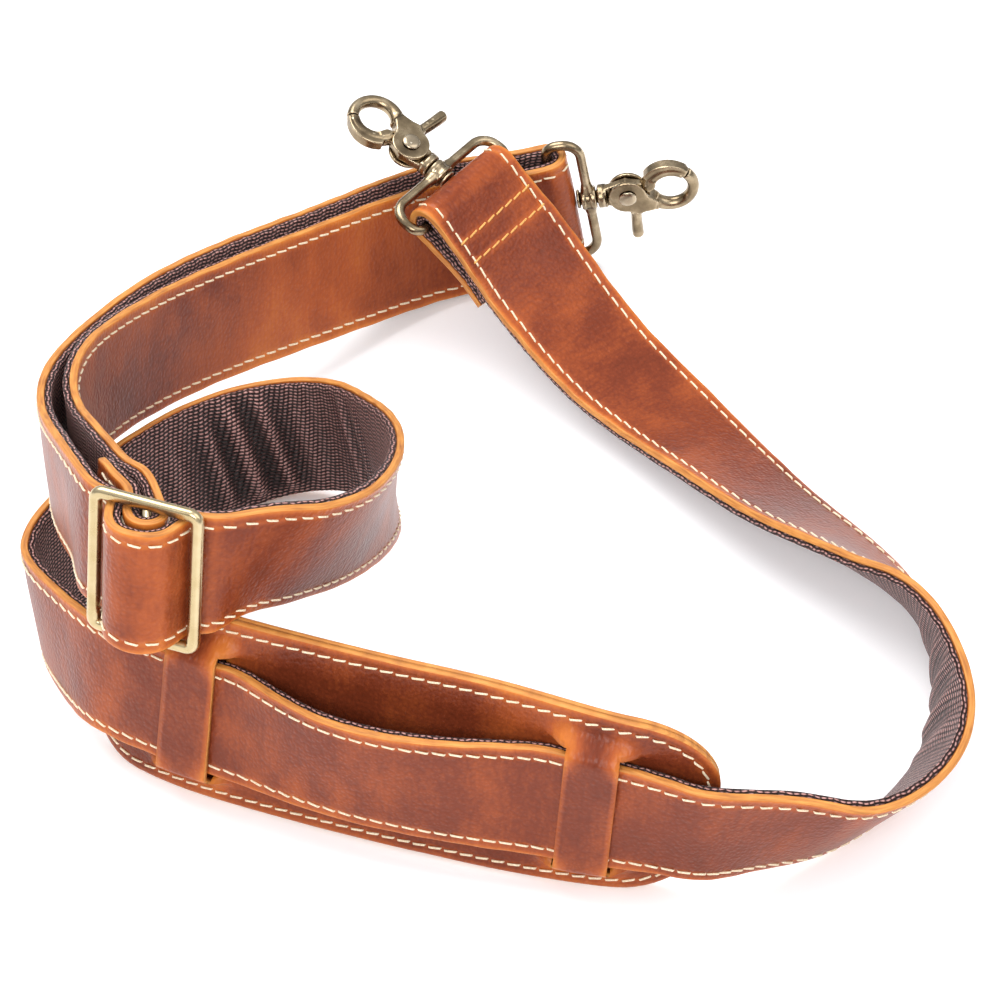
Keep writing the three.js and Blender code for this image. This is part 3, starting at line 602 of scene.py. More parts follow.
def webbing_strip(sections, wrinkles, material):
    """Webbing layer with soft edges and wrinkles, with a painted highlight on the wrinkles' ridges and
    painted shade in their hollows.
    """
    profile, _ = layer_profile(WEBBING_HALF, WEBBING, WEBBING_ROUND, FACE_MARKS[1:])
    run = sections["run"][:, None]
    w, d = profile.T[:, None]
    shown = smoothstep(d, WEBBING * 0.5, WEBBING)
    crease = 0.0
    hollow_shade = 0.0
    for at, rise, width, slant, top in wrinkles:
        fade = (1 - smoothstep(w, top - WRINKLE_FADE, top)) * smoothstep(w, *WRINKLE_FOOT)
        place = at + slant * w
        crease = crease + rise * fade * bump_at(run, place, width)
        hollow_shade = hollow_shade + rise * fade * bump_at(run, place, WRINKLE_SHADE_SPREAD * width)
    # Painted highlight on the ridges and painted shade in the hollows, stored as the webbing's wear values
    plain, ridge_highlight, sunk = WRINKLE_LIGHT_AND_SHADE
    ridge_light_hollow_shade = plain + ridge_highlight * crease - sunk * hollow_shade
    out = d + shown * (crease + field(run, w, *WEBBING_UNEVEN))
    pitch, amount = WEBBING_EDGE_WAVE
    at_edge = np.sign(w) * (np.abs(w) > WEBBING_HALF - WEBBING_EDGE)
    edge_wave = amount * np.sin(2 * math.pi * run / pitch) * at_edge
    points = layer_points(sections, w + edge_wave, -LAYER_GAP - out)
    return layer_piece("strap_webbing_weave", points, True, run, profile, ridge_light_hollow_shade, [material])


def stitch_mesh(name, rows, material):
    """Raised thread stitches, from rows of places with their directions along, aside and out."""
    spread = np.array(STITCH_SPREAD)
    dip = np.clip((np.abs(spread) - STITCH_DIP_FROM) / (0.5 - STITCH_DIP_FROM), 0, 1) ** 2
    rise = STITCH_RADIUS * (STITCH_LIFT - STITCH_SINK * dip)
    thick = STITCH_RADIUS * (1 - STITCH_TAPER * dip)
    rings = len(spread)
    turn = circle(STITCH_SIDES)[:, None]
    points = []
    faces = []
    stitches = [np.concatenate(parts) for parts in zip(*rows)]
    for i, (p, t, s, o) in enumerate(zip(*stitches)):
        line = p + np.outer(spread * STITCH_LENGTH, t + STITCH_SLANT * s) + np.outer(rise, o)
        ring = np.cos(turn) * s + np.sin(turn) * o
        points.append(line[:, None] + thick[:, None, None] * ring[None])
        faces.extend(tube_faces(rings, STITCH_SIDES, base=i * rings * STITCH_SIDES))
    return make_piece(name, np.array(points).reshape(-1, 3), faces, [material])


def strap_stitches(sections, material):
    """Two rows of stitches along the leather."""
    run = np.arange(STITCH_MARGIN, sections["run"][-1] - STITCH_MARGIN, STITCH_PITCH)
    middle, up, face, along = section_at(sections, run)
    rows = []
    for sign in (-1, 1):
        at = middle + up * sign * (STRAP_HALF - STITCH_INSET) + face * (LEATHER - THREAD_BED)
        rows.append((at, along, up, face))
    return stitch_mesh("strap_stitches", rows, material)


def cross_stitches(sections, apex, material):
    """Two rows of stitches across the strap behind the fold on hook a."""
    inset = STRAP_HALF - STITCH_INSET
    reach = inset - CROSS_MARGIN
    across = np.linspace(-reach, reach, round(2 * inset / STITCH_PITCH) + 1)
    rows = []
    for back in CROSS_ROWS:
        middle, up, face, along = section_at(sections, np.full(len(across), apex + back))
        rows.append((middle + up * across[:, None] + face * LEATHER, up, along, face))
    return stitch_mesh("fold_stitches", rows, material)


def spline_rows(rows, steps):
    """Uniform cubic B-spline that follows rows of values, from the first row to the last."""
    rows = np.asarray(rows, float)
    ext = np.concatenate([[2 * rows[0] - rows[1]], rows, [2 * rows[-1] - rows[-2]]])
    t = (np.arange(steps) / steps)[:, None]
    parts = []
    for i in range(1, len(ext) - 2):
        parts.append((1 - t) ** 3 / 6 * ext[i - 1] + (3 * t ** 3 - 6 * t ** 2 + 4) / 6 * ext[i]
                     + (-3 * t ** 3 + 3 * t ** 2 + 3 * t + 1) / 6 * ext[i + 1] + t ** 3 / 6 * ext[i + 2])
    return np.concatenate(parts + [rows[-1:]])


pad_line = spline_rows(PAD_FOOT, PAD_FOOT_STEPS)
pad_run = run_along(pad_line[:, :2])
PAD_LENGTH = pad_run[-1]


def pad_frame(along):
    """Foot, up, face and forward of the pad at distances along it."""
    x, y, lean = (np.interp(along, pad_run, row) for row in pad_line.T)
    heading = unit(read_at(along, pad_run, np.gradient(pad_line[:, :2], pad_run, axis=0)))
    level = np.zeros_like(x)
    side = np.stack([-heading[..., 1], heading[..., 0], level], -1)
    forward = np.stack([heading[..., 0], heading[..., 1], level], -1)
    tilt = np.radians(lean)[..., None]
    up = UP * np.cos(tilt) + side * np.sin(tilt)
    return np.stack([x, y, level], -1) + PLAN_ORIGIN, up, np.cross(up, forward), forward


def pad_point(along, height, front):
    """Place on the pad."""
    foot, up, face, _ = pad_frame(along)
    return foot + up * height[..., None] + face * front[..., None]


def pad_inside(along, height):
    """Distance into the pad from its outline."""
    qx = np.abs(along - PAD_LENGTH / 2) - (PAD_LENGTH / 2 - PAD_CORNER)
    qy = np.abs(height - PAD_HEIGHT / 2) - (PAD_HEIGHT / 2 - PAD_CORNER)
    outside = np.hypot(np.maximum(qx, 0), np.maximum(qy, 0))
    return PAD_CORNER - outside - np.minimum(np.maximum(qx, qy), 0)


def end_cut(along):
    """How far the rounded ends cut into the pad's height."""
    d = np.minimum(np.minimum(along, PAD_LENGTH - along), PAD_CORNER)
    return PAD_CORNER - np.sqrt(np.maximum(PAD_CORNER ** 2 - (PAD_CORNER - d) ** 2, 0))


def split(breaks, step, closed=()):
    """Values between breaks at about a step, with none inside the closed spans."""
    values = [breaks[0]]
    for a, b in zip(breaks[:-1], breaks[1:]):
        count = 1 if (a, b) in closed else max(1, round((b - a) / step))
        values.extend(a + (b - a) * k / count for k in range(1, count + 1))
    return np.array(values)


def bridge_rise(along, height):
    """Rise of the pad front over the strap: full on a bridge, fading round the ends of its slits."""
    low = smoothstep(height, SLIT_LOW - SLIT_END_SPREAD, BRIDGE_FOOT)
    high = 1 - smoothstep(height, BRIDGE_HEAD, SLIT_HIGH + SLIT_END_SPREAD)
    full = PAD_BRIDGE_RISE * low * high
    past = (height > SLIT_LOW) & (height < SLIT_HIGH)
    into = np.minimum(np.abs(height - SLIT_LOW), np.abs(SLIT_HIGH - height))
    total = np.zeros_like(full)
    half = SLIT_WIDTH / 4
    for first, last in (SLITS_ALONG[:2], SLITS_ALONG[2:]):
        outside = np.maximum(np.maximum(first + half - along, along - last + half), 0)
        beside = full * bump_at(outside, 0, SLIT_END_SPREAD)
        beside = np.where(past & (outside > 0), beside * bump_at(into, 0, SLIT_LIP), beside)
        total = np.maximum(total, beside)
    return total


def pad_wear(along, height, inside, slits):
    """Where the pad's leather is rubbed: its edge, its stitch line, the slits and patches."""
    worn = bump_at(inside, 0, *PAD_EDGE_WEAR) + bump_at(inside, STITCH_INSET, *PAD_SEAM_WEAR)
    aside, beyond, amount = SLIT_END_WEAR
    between = (height > SLIT_LOW) & (height < SLIT_HIGH)
    for slit in slits:
        for end in (SLIT_LOW, SLIT_HIGH):
            worn = worn + amount * np.exp(-(((along - slit) / aside) ** 2 + ((height - end) / beyond) ** 2))
        worn = worn + bump_at(along, slit, *SLIT_WEAR) * between
    return np.clip(worn + field(along, height, *PAD_PATCH_WEAR), 0, 1)


def pad_layer(name, back, front, slitted, materials):
    """Layer of the pad with rounded cut edges, a sunk stitch line and, in front, the slits."""
    spans = [(s - SLIT_WIDTH / 2, s + SLIT_WIDTH / 2) for s in SLITS_ALONG]
    arc = np.linspace(0, math.pi / 2, PAD_END_STEPS)[1:-1]
    ends = PAD_CORNER * (1 - np.cos(arc))
    breaks = [PAD_CORNER, *sum(spans, ()), PAD_LENGTH - PAD_CORNER]
    inner = split(breaks, PAD_STEP, spans)
    columns = np.concatenate([[0], ends, inner, (PAD_LENGTH - ends)[::-1], [PAD_LENGTH]])
    breaks = [PAD_LIP_END, SLIT_LOW, BRIDGE_FOOT, BRIDGE_HEAD, SLIT_HIGH, PAD_HEIGHT - PAD_LIP_END]
    rows = split(breaks, PAD_STEP * PAD_ROW_SHARE)
    rows = np.concatenate([PAD_LIP, rows, [PAD_HEIGHT - v for v in PAD_LIP[::-1]]])
    along, level = np.meshgrid(columns, rows, indexing="ij")
    cut = end_cut(along)
    height = cut + level * (PAD_HEIGHT - 2 * cut) / PAD_HEIGHT
    inside = np.maximum(pad_inside(along, height), 0)
    rise = bridge_rise(along, level) if slitted else np.zeros_like(along)
    slanted = along + SLIT_SLANT * (PAD_HEIGHT / 2 - height)
    edge_drop = PAD_EDGE_ROUND * (1 - np.sqrt(np.clip(1 - (1 - np.clip(inside, 0, 1)) ** 2, 0, 1)))
    groove = GROOVE_DEPTH * bump_at(inside, STITCH_INSET, GROOVE_WIDTH)
    uneven = field(along, height, *PAD_UNEVEN)
    sunk = edge_drop + groove
    behind, before = (0, uneven - sunk) if slitted else (sunk, 0)
    near = pad_point(slanted, height, back + rise + behind)
    far = pad_point(slanted, height, front + rise + before)
    nx, ny = along.shape
    points = np.stack([near, far], 2).reshape(-1, 3)
    centre = (columns[:-1] + columns[1:]) / 2
    in_slit = np.array([any(a < c < b for a, b in spans) for c in centre])
    in_rows = (rows[:-1] >= SLIT_LOW - ROW_TOLERANCE) & (rows[1:] <= SLIT_HIGH + ROW_TOLERANCE)
    solid = np.zeros((nx + 1, ny + 1), bool)
    solid[1:-1, 1:-1] = ~(in_slit[:, None] & in_rows) if slitted else True
    faces = []
    slots = []

    def quad(slot, *corners):
        faces.append(tuple(2 * (i * ny + j) + side for i, j, side in corners))
        slots.append(slot)

    for i in range(nx - 1):
        for j in range(ny - 1):
            if not solid[i + 1, j + 1]:
                continue
            rim = int(i in (0, nx - 2) or j in (0, ny - 2))
            quad(rim, (i, j, 1), (i, j + 1, 1), (i + 1, j + 1, 1), (i + 1, j, 1))
            quad(0, (i, j, 0), (i + 1, j, 0), (i + 1, j + 1, 0), (i, j + 1, 0))
            for side in (0, 1):
                m = i + side
                n = j + side
                if not solid[m + side, j + 1]:
                    quad(1, (m, j, side), (m, j + 1, side), (m, j + 1, 1 - side), (m, j, 1 - side))
                if not solid[i + 1, n + side]:
                    quad(1, (i, n, side), (i, n, 1 - side), (i + 1, n, 1 - side), (i + 1, n, side))
    worn = pad_wear(along, level, inside, SLITS_ALONG if slitted else [])
    uv = np.repeat(np.stack([along, height], -1).reshape(-1, 2), 2, 0)
    return make_piece(name, points, faces, materials, slots, uv, np.repeat(worn.ravel(), 2))


def pad_stitches(material):
    """Row of stitches round the pad, seen in front and behind."""
    middle = np.array([PAD_LENGTH / 2, PAD_HEIGHT / 2])
    outline = middle + rounded(*(middle - STITCH_INSET), PAD_CORNER - STITCH_INSET, PAD_SEAM_STEPS)
    outline = np.concatenate([outline, outline[:1]])
    run = run_along(outline)
    count = round(run[-1] / STITCH_PITCH)
    places = np.arange(count) * run[-1] / count
    flat = read_at(places, run, outline)
    turn = unit(read_at((places + 0.5) % run[-1], run, outline) - flat)
    shifted = flat[:, 0] + SLIT_SLANT * (PAD_HEIGHT / 2 - flat[:, 1])
    _, up, face, forward = pad_frame(shifted)
    along = forward * turn[:, :1] + up * turn[:, 1:]
    surface = np.full(count, PAD_GAP + PAD_LAYER - THREAD_BED)
    rows = []
    for sign in (1, -1):
        at = pad_point(shifted, flat[:, 1], sign * surface)
        rows.append((at, along, sign * np.cross(face, along), sign * face))
    return stitch_mesh("pad_stitches", rows, material)


def set_in(tree, socket, value):
    """Value or link on a shader socket."""
    if isinstance(value, bpy.types.NodeSocket):
        tree.links.new(value, socket)
    else:
        socket.default_value = value


def paint(tree, made, **inputs):
    """Values or links on named inputs of a shader node."""
    for key, value in inputs.items():
        set_in(tree, made.inputs[key.replace("_", " ")], value)


def node(tree, kind, settings=(), **inputs):
    """Shader node with settings and named inputs."""
    made = tree.nodes.new(kind)
    for key, value in dict(settings).items():
        setattr(made, key, value)
    paint(tree, made, **inputs)
    return made


def calc(tree, operation, a, b=0.0):
    """Result of a math node."""
    made = node(tree, "ShaderNodeMath", {"operation": operation})
    set_in(tree, made.inputs[0], a)
    set_in(tree, made.inputs[1], b)
    return made.outputs[0]


def times(tree, a, b):
    """Product of two values."""
    return calc(tree, "MULTIPLY", a, b)


def scaled(tree, value, factor, plus=0.0):
    """Value times a factor, plus another."""
    return calc(tree, "ADD", times(tree, value, factor), plus)


def varied(tree, value, part, weight):
    """Value raised or lowered by how far a part lies from a half."""
    return calc(tree, "ADD", value, times(tree, calc(tree, "SUBTRACT", part, 0.5), weight))


def waves(tree, value):
    """Rounded ridge at each whole step of a value."""
    return calc(tree, "ABSOLUTE", calc(tree, "SINE", times(tree, value, math.pi)))


def relief(tree, shader, height, strength, distance):
    """Fine relief of a height on a shader."""
    bump = node(tree, "ShaderNodeBump", Height=height, Strength=strength, Distance=distance)
    paint(tree, shader, Normal=bump.outputs["Normal"])


def ramp(tree, factor, places, tones):
    """Colour of a factor between stops."""
    made = node(tree, "ShaderNodeValToRGB", Fac=factor)
    stops = made.color_ramp.elements
    for i, (place, tone) in enumerate(zip(places, tones)):
        stop = stops[i] if i < 2 else stops.new(place)
        stop.position = place
        stop.color = (*tone, 1)
    return made.outputs["Color"]


def material_base(name):
    """New material with its node tree and main shader."""
    made = bpy.data.materials.new(name)
    made.use_nodes = True
    return made, made.node_tree, made.node_tree.nodes["Principled BSDF"]


def lay_vector(tree, scale):
    """Strap coordinates stretched by a scale."""
    lay = node(tree, "ShaderNodeUVMap", {"uv_map": "lay"})
    return node(tree, "ShaderNodeMapping", Vector=lay.outputs["UV"], Scale=scale).outputs["Vector"]


def noise(tree, vector, scale, detail):
    """Noise between 0 and 1."""
    return node(tree, "ShaderNodeTexNoise", Vector=vector, Scale=scale, Detail=detail,
                Roughness=NOISE_ROUGH).outputs["Fac"]


def lay_noise(tree, stretch, scale, detail):
    """Noise laid along the strap."""
    return noise(tree, lay_vector(tree, stretch), scale, detail)


def stored_wear_and_light(tree):
    """Wear and painted light stored on the mesh."""
    return node(tree, "ShaderNodeAttribute", {"attribute_name": "wear_and_painted_light"}).outputs["Fac"]


def leather_material(name, tones):
    """Waxed pull-up leather: red-brown, orange where it is rubbed or bent and along a painted highlight,
    with a fine grain.
    """
    made, tree, shader = material_base(name)
    patches, streaks, pores = (lay_noise(tree, *laid) for laid in (PATCHES, STREAKS, PORES))
    pebbles = node(tree, "ShaderNodeTexVoronoi", {"feature": "SMOOTH_F1"}, Scale=PEBBLE_SCALE,
                   Smoothness=0.7, Vector=lay_vector(tree, PEBBLE_STRETCH)).outputs["Distance"]
    # The stored values hold real wear and, on the strap, a painted highlight
    mixed = scaled(tree, stored_wear_and_light(tree), 0.75, 0.34)
    for part, weight in ((patches, 0.62), (streaks, 0.16), (pores, 0.14), (pebbles, -0.12)):
        mixed = varied(tree, mixed, part, weight)
    paint(tree, shader, Base_Color=ramp(tree, mixed, LEATHER_STOPS, tones), Specular_IOR_Level=0.22,
          Roughness=scaled(tree, patches, 0.22, 0.24))
    fine = scaled(tree, streaks, 0.3, times(tree, pores, 0.45))
    grain = calc(tree, "SUBTRACT", fine, times(tree, pebbles, 0.7))
    relief(tree, shader, grain, *GRAIN_RELIEF)
    return made


def edge_material():
    """Raw cut edge of the leather: golden orange with fibres along it."""
    made, tree, shader = material_base("raw_edge")
    fibres = lay_noise(tree, *FIBRES)
    patches = lay_noise(tree, *EDGE_PATCHES)
    mixed = scaled(tree, fibres, 0.75, times(tree, patches, 0.3))
    paint(tree, shader, Base_Color=ramp(tree, mixed, EDGE_STOPS, EDGE_TONES), Roughness=0.62)
    relief(tree, shader, fibres, *FIBRE_RELIEF)
    return made


def webbing_material():
    """Dark brown woven webbing: wavy rows of short floats over darker gaps."""
    made, tree, shader = material_base("woven_webbing")
    lay = node(tree, "ShaderNodeUVMap", {"uv_map": "lay"}).outputs["UV"]
    parts = node(tree, "ShaderNodeSeparateXYZ", Vector=lay)
    along = times(tree, parts.outputs["X"], UV_UNIT)
    across = times(tree, parts.outputs["Y"], UV_UNIT)
    sway = calc(tree, "SINE", times(tree, along, 2 * math.pi / WEAVE_WAVE))
    rows = calc(tree, "DIVIDE", scaled(tree, sway, WEAVE_SWAY, across), WEAVE_ROW)
    shifted = times(tree, calc(tree, "FLOOR", rows), WEAVE_SHIFT)
    floats = calc(tree, "ADD", calc(tree, "DIVIDE", along, WEAVE_FLOAT), shifted)
    rib = calc(tree, "POWER", waves(tree, rows), 1.1)
    height = times(tree, rib, calc(tree, "POWER", waves(tree, floats), 0.35))
    tone = varied(tree, height, lay_noise(tree, *SPECKLE), 0.6)
    # Painted highlight on the wrinkle ridges and painted shade in their hollows, from the stored values
    tone = varied(tree, tone, stored_wear_and_light(tree), 0.7)
    paint(tree, shader, Base_Color=ramp(tree, tone, WEBBING_STOPS, WEBBING_TONES), Roughness=0.42,
          Specular_IOR_Level=0.25, Sheen_Weight=0.1, Sheen_Roughness=0.4, Sheen_Tint=SHEEN_TONE)
    relief(tree, shader, height, *WEAVE_RELIEF)
    return made


def thread_material(name, tones):
    """Twisted sewing thread."""
    made, tree, shader = material_base(name)
    strands = noise(tree, node(tree, "ShaderNodeTexCoord").outputs["Object"], *STRANDS)
    paint(tree, shader, Base_Color=ramp(tree, strands, THREAD_STOPS, tones), Roughness=0.55)
    relief(tree, shader, strands, *THREAD_RELIEF)
    return made


def brass_material(name, tones, rough, tarnish):
    """Brass with uneven tarnish and fine brushing, with painted shade in its hollows and a painted highlight
    on its outer edges.
    """
    made, tree, shader = material_base(name)
    place = node(tree, "ShaderNodeTexCoord").outputs["Object"]
    cloud = noise(tree, place, *TARNISH)
    # Painted shade and highlight: pointiness darkens hollows and lightens outer edges
    painted_edge_light_hollow_shade = node(tree, "ShaderNodeNewGeometry").outputs["Pointiness"]
    mixed = varied(tree, scaled(tree, cloud, tarnish, 0.4 - 0.5 * tarnish), painted_edge_light_hollow_shade, 4.0)
    paint(tree, shader, Base_Color=ramp(tree, mixed, BRASS_STOPS, tones), Metallic=1.0,
          Roughness=scaled(tree, cloud, 0.16, rough))
    relief(tree, shader, noise(tree, place, *BRUSHING), *BRUSH_RELIEF)
    return made


def tube(path, across, deep, sides=TUBE_SIDES, closed=False):
    """Tube along a flat path with half widths in its plane and out of it, as points and faces."""
    path = np.asarray(path, float)
    count = len(path)
    ahead = np.roll(path, -1, 0) - np.roll(path, 1, 0)
    if not closed:
        ahead[0] = path[1] - path[0]
        ahead[-1] = path[-1] - path[-2]
    side = unit(np.cross(UP, unit(ahead)))
    turn = circle(sides)[None, :, None]
    across = np.broadcast_to(across, count)[:, None, None]
    deep = np.broadcast_to(deep, count)[:, None, None]
    ring = np.cos(turn) * side[:, None] * across + np.sin(turn) * UP * deep
    return (path[:, None] + ring).reshape(-1, 3), tube_faces(count, sides, closed)


def turned(profile):
    """Solid turned about the hook's axis from rows of distance along it and radius."""
    turn = circle(TURNED_SIDES)
    rings = [np.stack([np.full_like(turn, x), r * np.cos(turn), r * np.sin(turn)], -1) for x, r in profile]
    return np.concatenate(rings), tube_faces(len(profile), TURNED_SIDES)


def prism(outline, low, high):
    """Flat plate of an outline between two heights."""
    return np.array([(x, y, z) for z in (low, high) for x, y in outline]), tube_faces(2, len(outline))


def plate(outline, half):
    """Flat plate of an outline and its half thickness."""
    return prism(outline, -half, half)


def round_eye(degrees, radius):
    """Places round the eye at given angles and radius."""
    turn = np.radians(degrees)
    return np.stack([EYE[0] + radius * np.cos(turn), EYE[1] + radius * np.sin(turn)], -1)


def jaw_tube(ends, across, deep):
    """Jaw round the eye between two angles, with its half widths."""
    path = round_eye(np.linspace(*ends, JAW_STEPS), EYE_RADIUS)
    return tube(np.pad(path, ((0, 0), (0, 1))), across, deep)


def joined(shells):
    """Points and faces of several shells together."""
    points = []
    faces = []
    for shell_points, shell_faces in shells:
        start = sum(len(p) for p in points)
        points.append(np.asarray(shell_points))
        faces.extend(tuple(start + k for k in face) for face in shell_faces)
    return np.concatenate(points), faces


def cast_piece(name, shells, place, material):
    """One cast metal piece fused from shells, with soft edges, put in its place."""
    points, faces = joined(shells)
    piece = make_piece(name, points, faces, [material])
    fuse = piece.modifiers.new("fuse", "REMESH")
    fuse.mode = "VOXEL"
    fuse.voxel_size = VOXEL * MM
    fuse.use_smooth_shade = True
    soften = piece.modifiers.new("soften", "SMOOTH")
    soften.factor = 0.5
    soften.iterations = SOFTEN_STEPS
    graph = bpy.context.evaluated_depsgraph_get()
    fused = bpy.data.meshes.new_from_object(piece.evaluated_get(graph))
    piece.modifiers.clear()
    piece.data = fused
    fused.materials.clear()
    fused.materials.append(material)
    fused.transform(place)
    return piece


def hook_place(side):
    """Place of a hook, from the joints of the frame."""
    joints = {joint["name"]: joint for joint in frame["joints"]}
    x = Vector(joints["hook_swivel_" + side]["axis"]).normalized()
    z = Vector(joints["trigger_" + side]["axis"]).normalized()
    turn = Matrix((x, z.cross(x), z)).transposed().to_4x4()
    return Matrix.Translation(joints["ring_swing_" + side]["pos_m"]) @ turn


def ring_shells():
    """Rectangular wire ring with the grooved barrel that the hook turns in."""
    near = RING_INNER_CORNER
    far = RING_OUTER_CORNER
    corners = [(near, -1, near, 180), (RING_DEPTH - far, -1, far, 270),
               (RING_DEPTH - far, 1, far, 0), (near, 1, near, 90)]
    path = []
    for x, sign, r, start in corners:
        path.extend((*p, 0) for p in arc_points(x, sign * (RING_HALF - r), r, start, RING_STEPS))
    wire = tube(path, RING_WIRE, RING_WIRE, closed=True)
    flare = [tube([(RING_DEPTH, sign * y, 0) for y in FLARE_AT], FLARE_RADIUS, FLARE_RADIUS)
             for sign in (-1, 1)]
    return [wire, turned(BARREL), *flare]


def body_shells():
    """Stem with its button, collar, tongue and fixed jaw."""
    along = np.linspace(0, 1, JAW_STEPS)
    wide = JAW_WIDE + FIXED_JAW_FLARE * (1 - along) ** 3
    jaw = jaw_tube(FIXED_JAW_DEG, wide, EYE_HALF - JAW_THIN * along)
    outer = np.linspace(JAW_RIM_DEG[0], JAW_RIM_DEG[-1], RIM_STEPS)
    inner = np.linspace(JAW_RIM_DEG[-1], JAW_ROOT_DEG, RIM_STEPS)
    rim = hermite(np.array(JAW_RIM_DEG), np.array(JAW_RIM_RADIUS)[:, None], outer)[:, 0]
    web = np.concatenate([round_eye(outer, rim), round_eye(inner, JAW_INNER)])
    flat = [plate(*form) for form in (SHOULDER, TONGUE)]
    return [turned(STEM), *flat, jaw, plate(web, JAW_FLAT_HALF), plate(*JAW_LEDGE)]


def trigger_shells():
    """Moving jaw with its two rivet plates and lever."""
    turn = circle(PLATE_SIDES)
    disc = np.stack([RIVET_AT + PLATE_RADIUS * np.cos(turn), PLATE_RADIUS * np.sin(turn)], -1)
    levels = ((-PLATE_OUTER, -PLATE_INNER), (PLATE_INNER, PLATE_OUTER))
    plates = [prism(form, *level) for level in levels for form in (disc, PLATE_WING)]
    along = np.linspace(0, 1, JAW_STEPS)
    wide = JAW_WIDE + MOVING_JAW_FLARE * along ** 3
    jaw = jaw_tube(MOVING_JAW_DEG, wide, EYE_HALF - JAW_THIN + 2 * JAW_THIN * along)
    lever = tube([(*p, 0) for p in LEVER], LEVER_ACROSS, LEVER_DEEP)
    return [*plates, jaw, plate(*JAW_ROOT), plate(*LEVER_NECK), lever]


def rivet_shells():
    """Rivet with a domed head on each side."""
    points, faces = turned(RIVET)
    points = np.stack([RIVET_AT + points[:, 1], -points[:, 2], points[:, 0]], -1)
    return [(points, [face[::-1] for face in faces])]


def slider_piece(material):
    """Rounded slider frame with its covered centre bar."""
    half_x = (SLIDER_LENGTH - SLIDER_BAR) / 2
    half_y = (SLIDER_HEIGHT - SLIDER_BAR) / 2
    path = np.pad(rounded(half_x, half_y, SLIDER_CORNER - SLIDER_BAR / 2, SLIDER_STEPS), ((0, 0), (0, 1)))
    ahead = unit(np.roll(path, -1, 0) - np.roll(path, 1, 0))
    side = np.cross(UP, ahead)
    ring = rounded(SLIDER_BAR / 2, SLIDER_THICK / 2, SLIDER_SOFT, SLIDER_SOFT_STEPS)
    points = [p + s * a + UP * b for p, s in zip(path, side) for a, b in ring]
    ends = [(0, -half_y, 0), (0, half_y, 0)]
    bar = tube(ends, SLIDER_CENTRE_BAR, SLIDER_CENTRE_BAR, SLIDER_BAR_SIDES)
    points, faces = joined([(points, tube_faces(len(path), len(ring), True)), bar])
    along = unit(SLIDER_ALONG)
    up = np.array(SLIDER_UP)
    up = unit(up - up.dot(along) * along)
    turn = np.stack([along, up, np.cross(along, up)])
    return make_piece("slider", points @ turn + (PLAN_ORIGIN + SLIDER_AT), faces, [material])


def aimed(name, data, place, ahead):
    """Camera or light at a place, turned to look ahead."""
    made = bpy.data.objects.new(name, data)
    made.location = place
    made.rotation_mode = "QUATERNION"
    made.rotation_quaternion = ahead.to_track_quat("-Z", "Y")
    scene.collection.objects.link(made)
    return made


# Materials
strap_leather = leather_material("strap_leather_waxed", STRAP_TONES)
pad_leather = leather_material("pad_leather_waxed", PAD_TONES)
raw_edge = edge_material()
webbing_cloth = webbing_material()
cream_thread = thread_material("cream_thread", CREAM_TONES)
amber_thread = thread_material("amber_thread", AMBER_TONES)
satin_brass = brass_material("satin_brass", SATIN_TONES, rough=0.2, tarnish=0.25)
antique_brass = brass_material("antique_brass", ANTIQUE_TONES, rough=0.18, tarnish=0.7)
rivet_brass = brass_material("rivet_brass", RIVET_TONES, rough=0.18, tarnish=0.6)

# Strap
sections = strap_sections()
hook_a = hook_place("a")
bar_a = np.array(hook_a.translation) / MM
out_a = np.array(hook_a.col[0].to_3d())
close_a = np.linalg.norm(sections["middle"] - bar_a, axis=1) < FOLD_REACH
apex_a = sections["run"][close_a][np.argmax((sections["middle"][close_a] - bar_a) @ out_a)]
wrinkles = []
for place, rows in ((CURL_BACK, CURL_WRINKLES), (U_TURN, TURN_WRINKLES)):
    run = nearest_run(sections, place)
    wrinkles.extend((run + at, *row) for at, *row in rows)
leather = leather_strip(sections, [apex_a + back for back in CROSS_ROWS], [strap_leather, raw_edge])
webbing = webbing_strip(sections, wrinkles, webbing_cloth)
edge_rows = strap_stitches(sections, cream_thread)
fold_rows = cross_stitches(sections, apex_a, amber_thread)

# Pad
pad_front = pad_layer("pad_front_skin", PAD_GAP, PAD_GAP + PAD_LAYER, True, [pad_leather, raw_edge])
pad_back = pad_layer("pad_backing_skin", -PAD_GAP - PAD_LAYER, -PAD_GAP, False, [pad_leather, raw_edge])
pad_row = pad_stitches(cream_thread)

# Slider
slider = slider_piece(satin_brass)

# Pieces on the strap, attached to its body, with the CAD parts they replace hidden
for piece, name, nodes in (
    (leather, "strap_leather", ["strap_leather"]),
    (webbing, "strap_webbing", ["strap_webbing"]),
    (edge_rows, "strap_leather", []),
    (fold_rows, "strap_leather", []),
    (pad_front, "pad_leather", ["pad_front"]),
    (pad_back, "pad_leather", ["pad_backing"]),
    (pad_row, "pad_leather", []),
    (slider, "slider_brass", ["slider_frame"]),
):
    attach(piece, "strap")
    if nodes:
        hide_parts(*nodes)

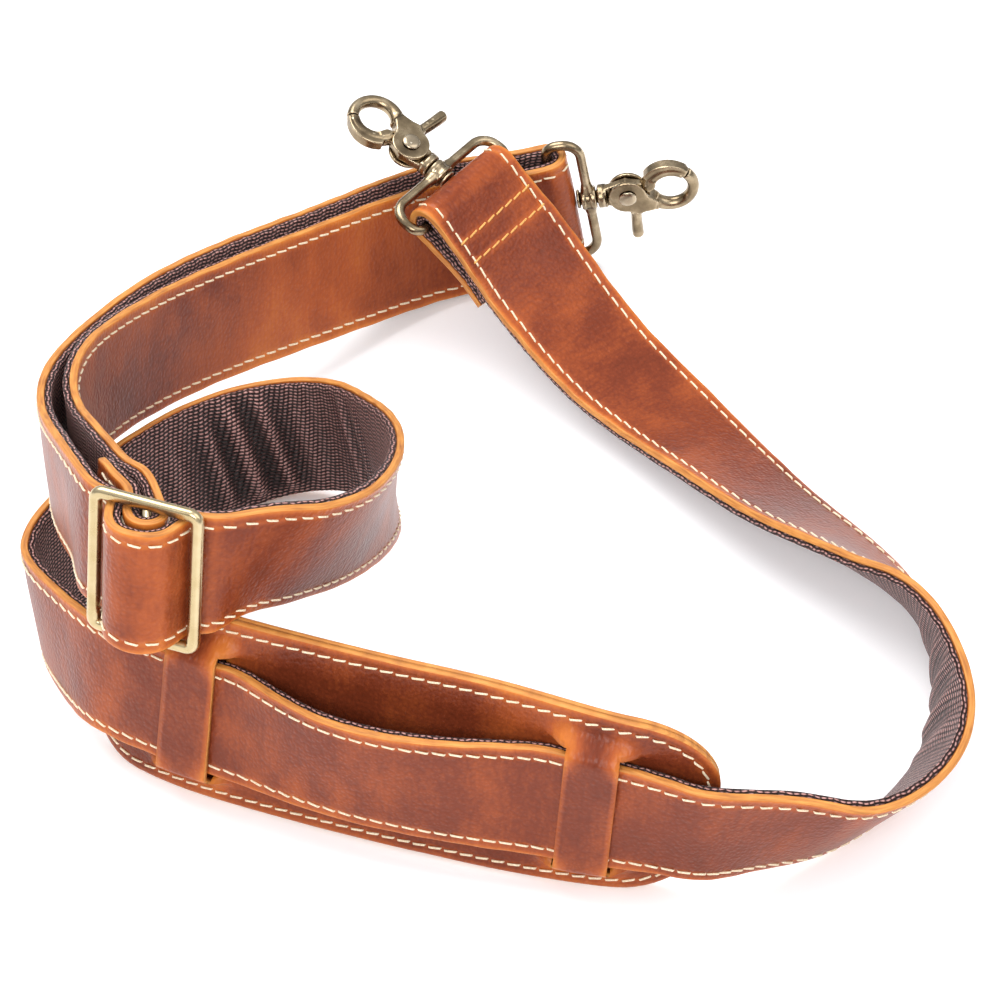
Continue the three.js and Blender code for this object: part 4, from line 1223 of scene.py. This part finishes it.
# Hooks
for side in ("a", "b"):
    place = hook_place(side)
    for part, shells, body, brass in (
        ("ring", ring_shells(), "ring_" + side, antique_brass),
        ("body", body_shells(), "hook_" + side, antique_brass),
        ("trigger", trigger_shells(), "trigger_" + side, antique_brass),
        ("rivet", rivet_shells(), "hook_" + side, rivet_brass),
    ):
        piece = cast_piece(f"cast_{part}_{side}", shells, place, brass)
        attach(piece, body)
        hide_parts(f"hook_{part}_{side}")

# Floor
floor_mesh = bpy.data.meshes.new("floor")
floor_corners = [(x * FLOOR_REACH, y * FLOOR_REACH, 0) for x, y in ((-1, -1), (1, -1), (1, 1), (-1, 1))]
floor_mesh.from_pydata(floor_corners, [], [(0, 1, 2, 3)])
floor = bpy.data.objects.new("floor", floor_mesh)
floor.location.z = -FLOOR_DROP
scene.collection.objects.link(floor)
floor_paint, floor_tree, floor_shader = material_base("pale_floor")
paint(floor_tree, floor_shader, Base_Color=FLOOR_TONE, Roughness=0.6, Specular_IOR_Level=0.2,
      Emission_Color=FLOOR_GLOW, Emission_Strength=0.15)
floor_mesh.materials.append(floor_paint)

# Camera
down = math.radians(CAMERA_DOWN_DEG)
target = Vector(PLAN_ORIGIN) * MM
back = Vector((0, -math.cos(down), math.sin(down)))
view = bpy.data.cameras.new("camera")
view.lens = CAMERA_LENS
view.sensor_width = CAMERA_SENSOR
view.clip_end = CAMERA_REACH
scene.camera = aimed("camera", view, target + back * CAMERA_DISTANCE * MM, -back)

# Light
world = bpy.data.worlds.new("studio")
world.use_nodes = True
sky = world.node_tree
ray = node(sky, "ShaderNodeTexCoord").outputs["Generated"]
steepness = node(sky, "ShaderNodeSeparateXYZ", Vector=ray).outputs["Z"]
dome = ramp(sky, scaled(sky, steepness, 0.5, 0.5), DOME_STOPS, DOME_TONES)
sky.links.new(dome, sky.nodes["Background"].inputs["Color"])
scene.world = world
for name, place, size, power in LIGHTS:
    lamp = bpy.data.lights.new(name, "AREA")
    lamp.shape = "DISK"
    lamp.size = size
    lamp.energy = power
    aimed(name, lamp, place, target - Vector(place))
scene.view_settings.view_transform = "Standard"
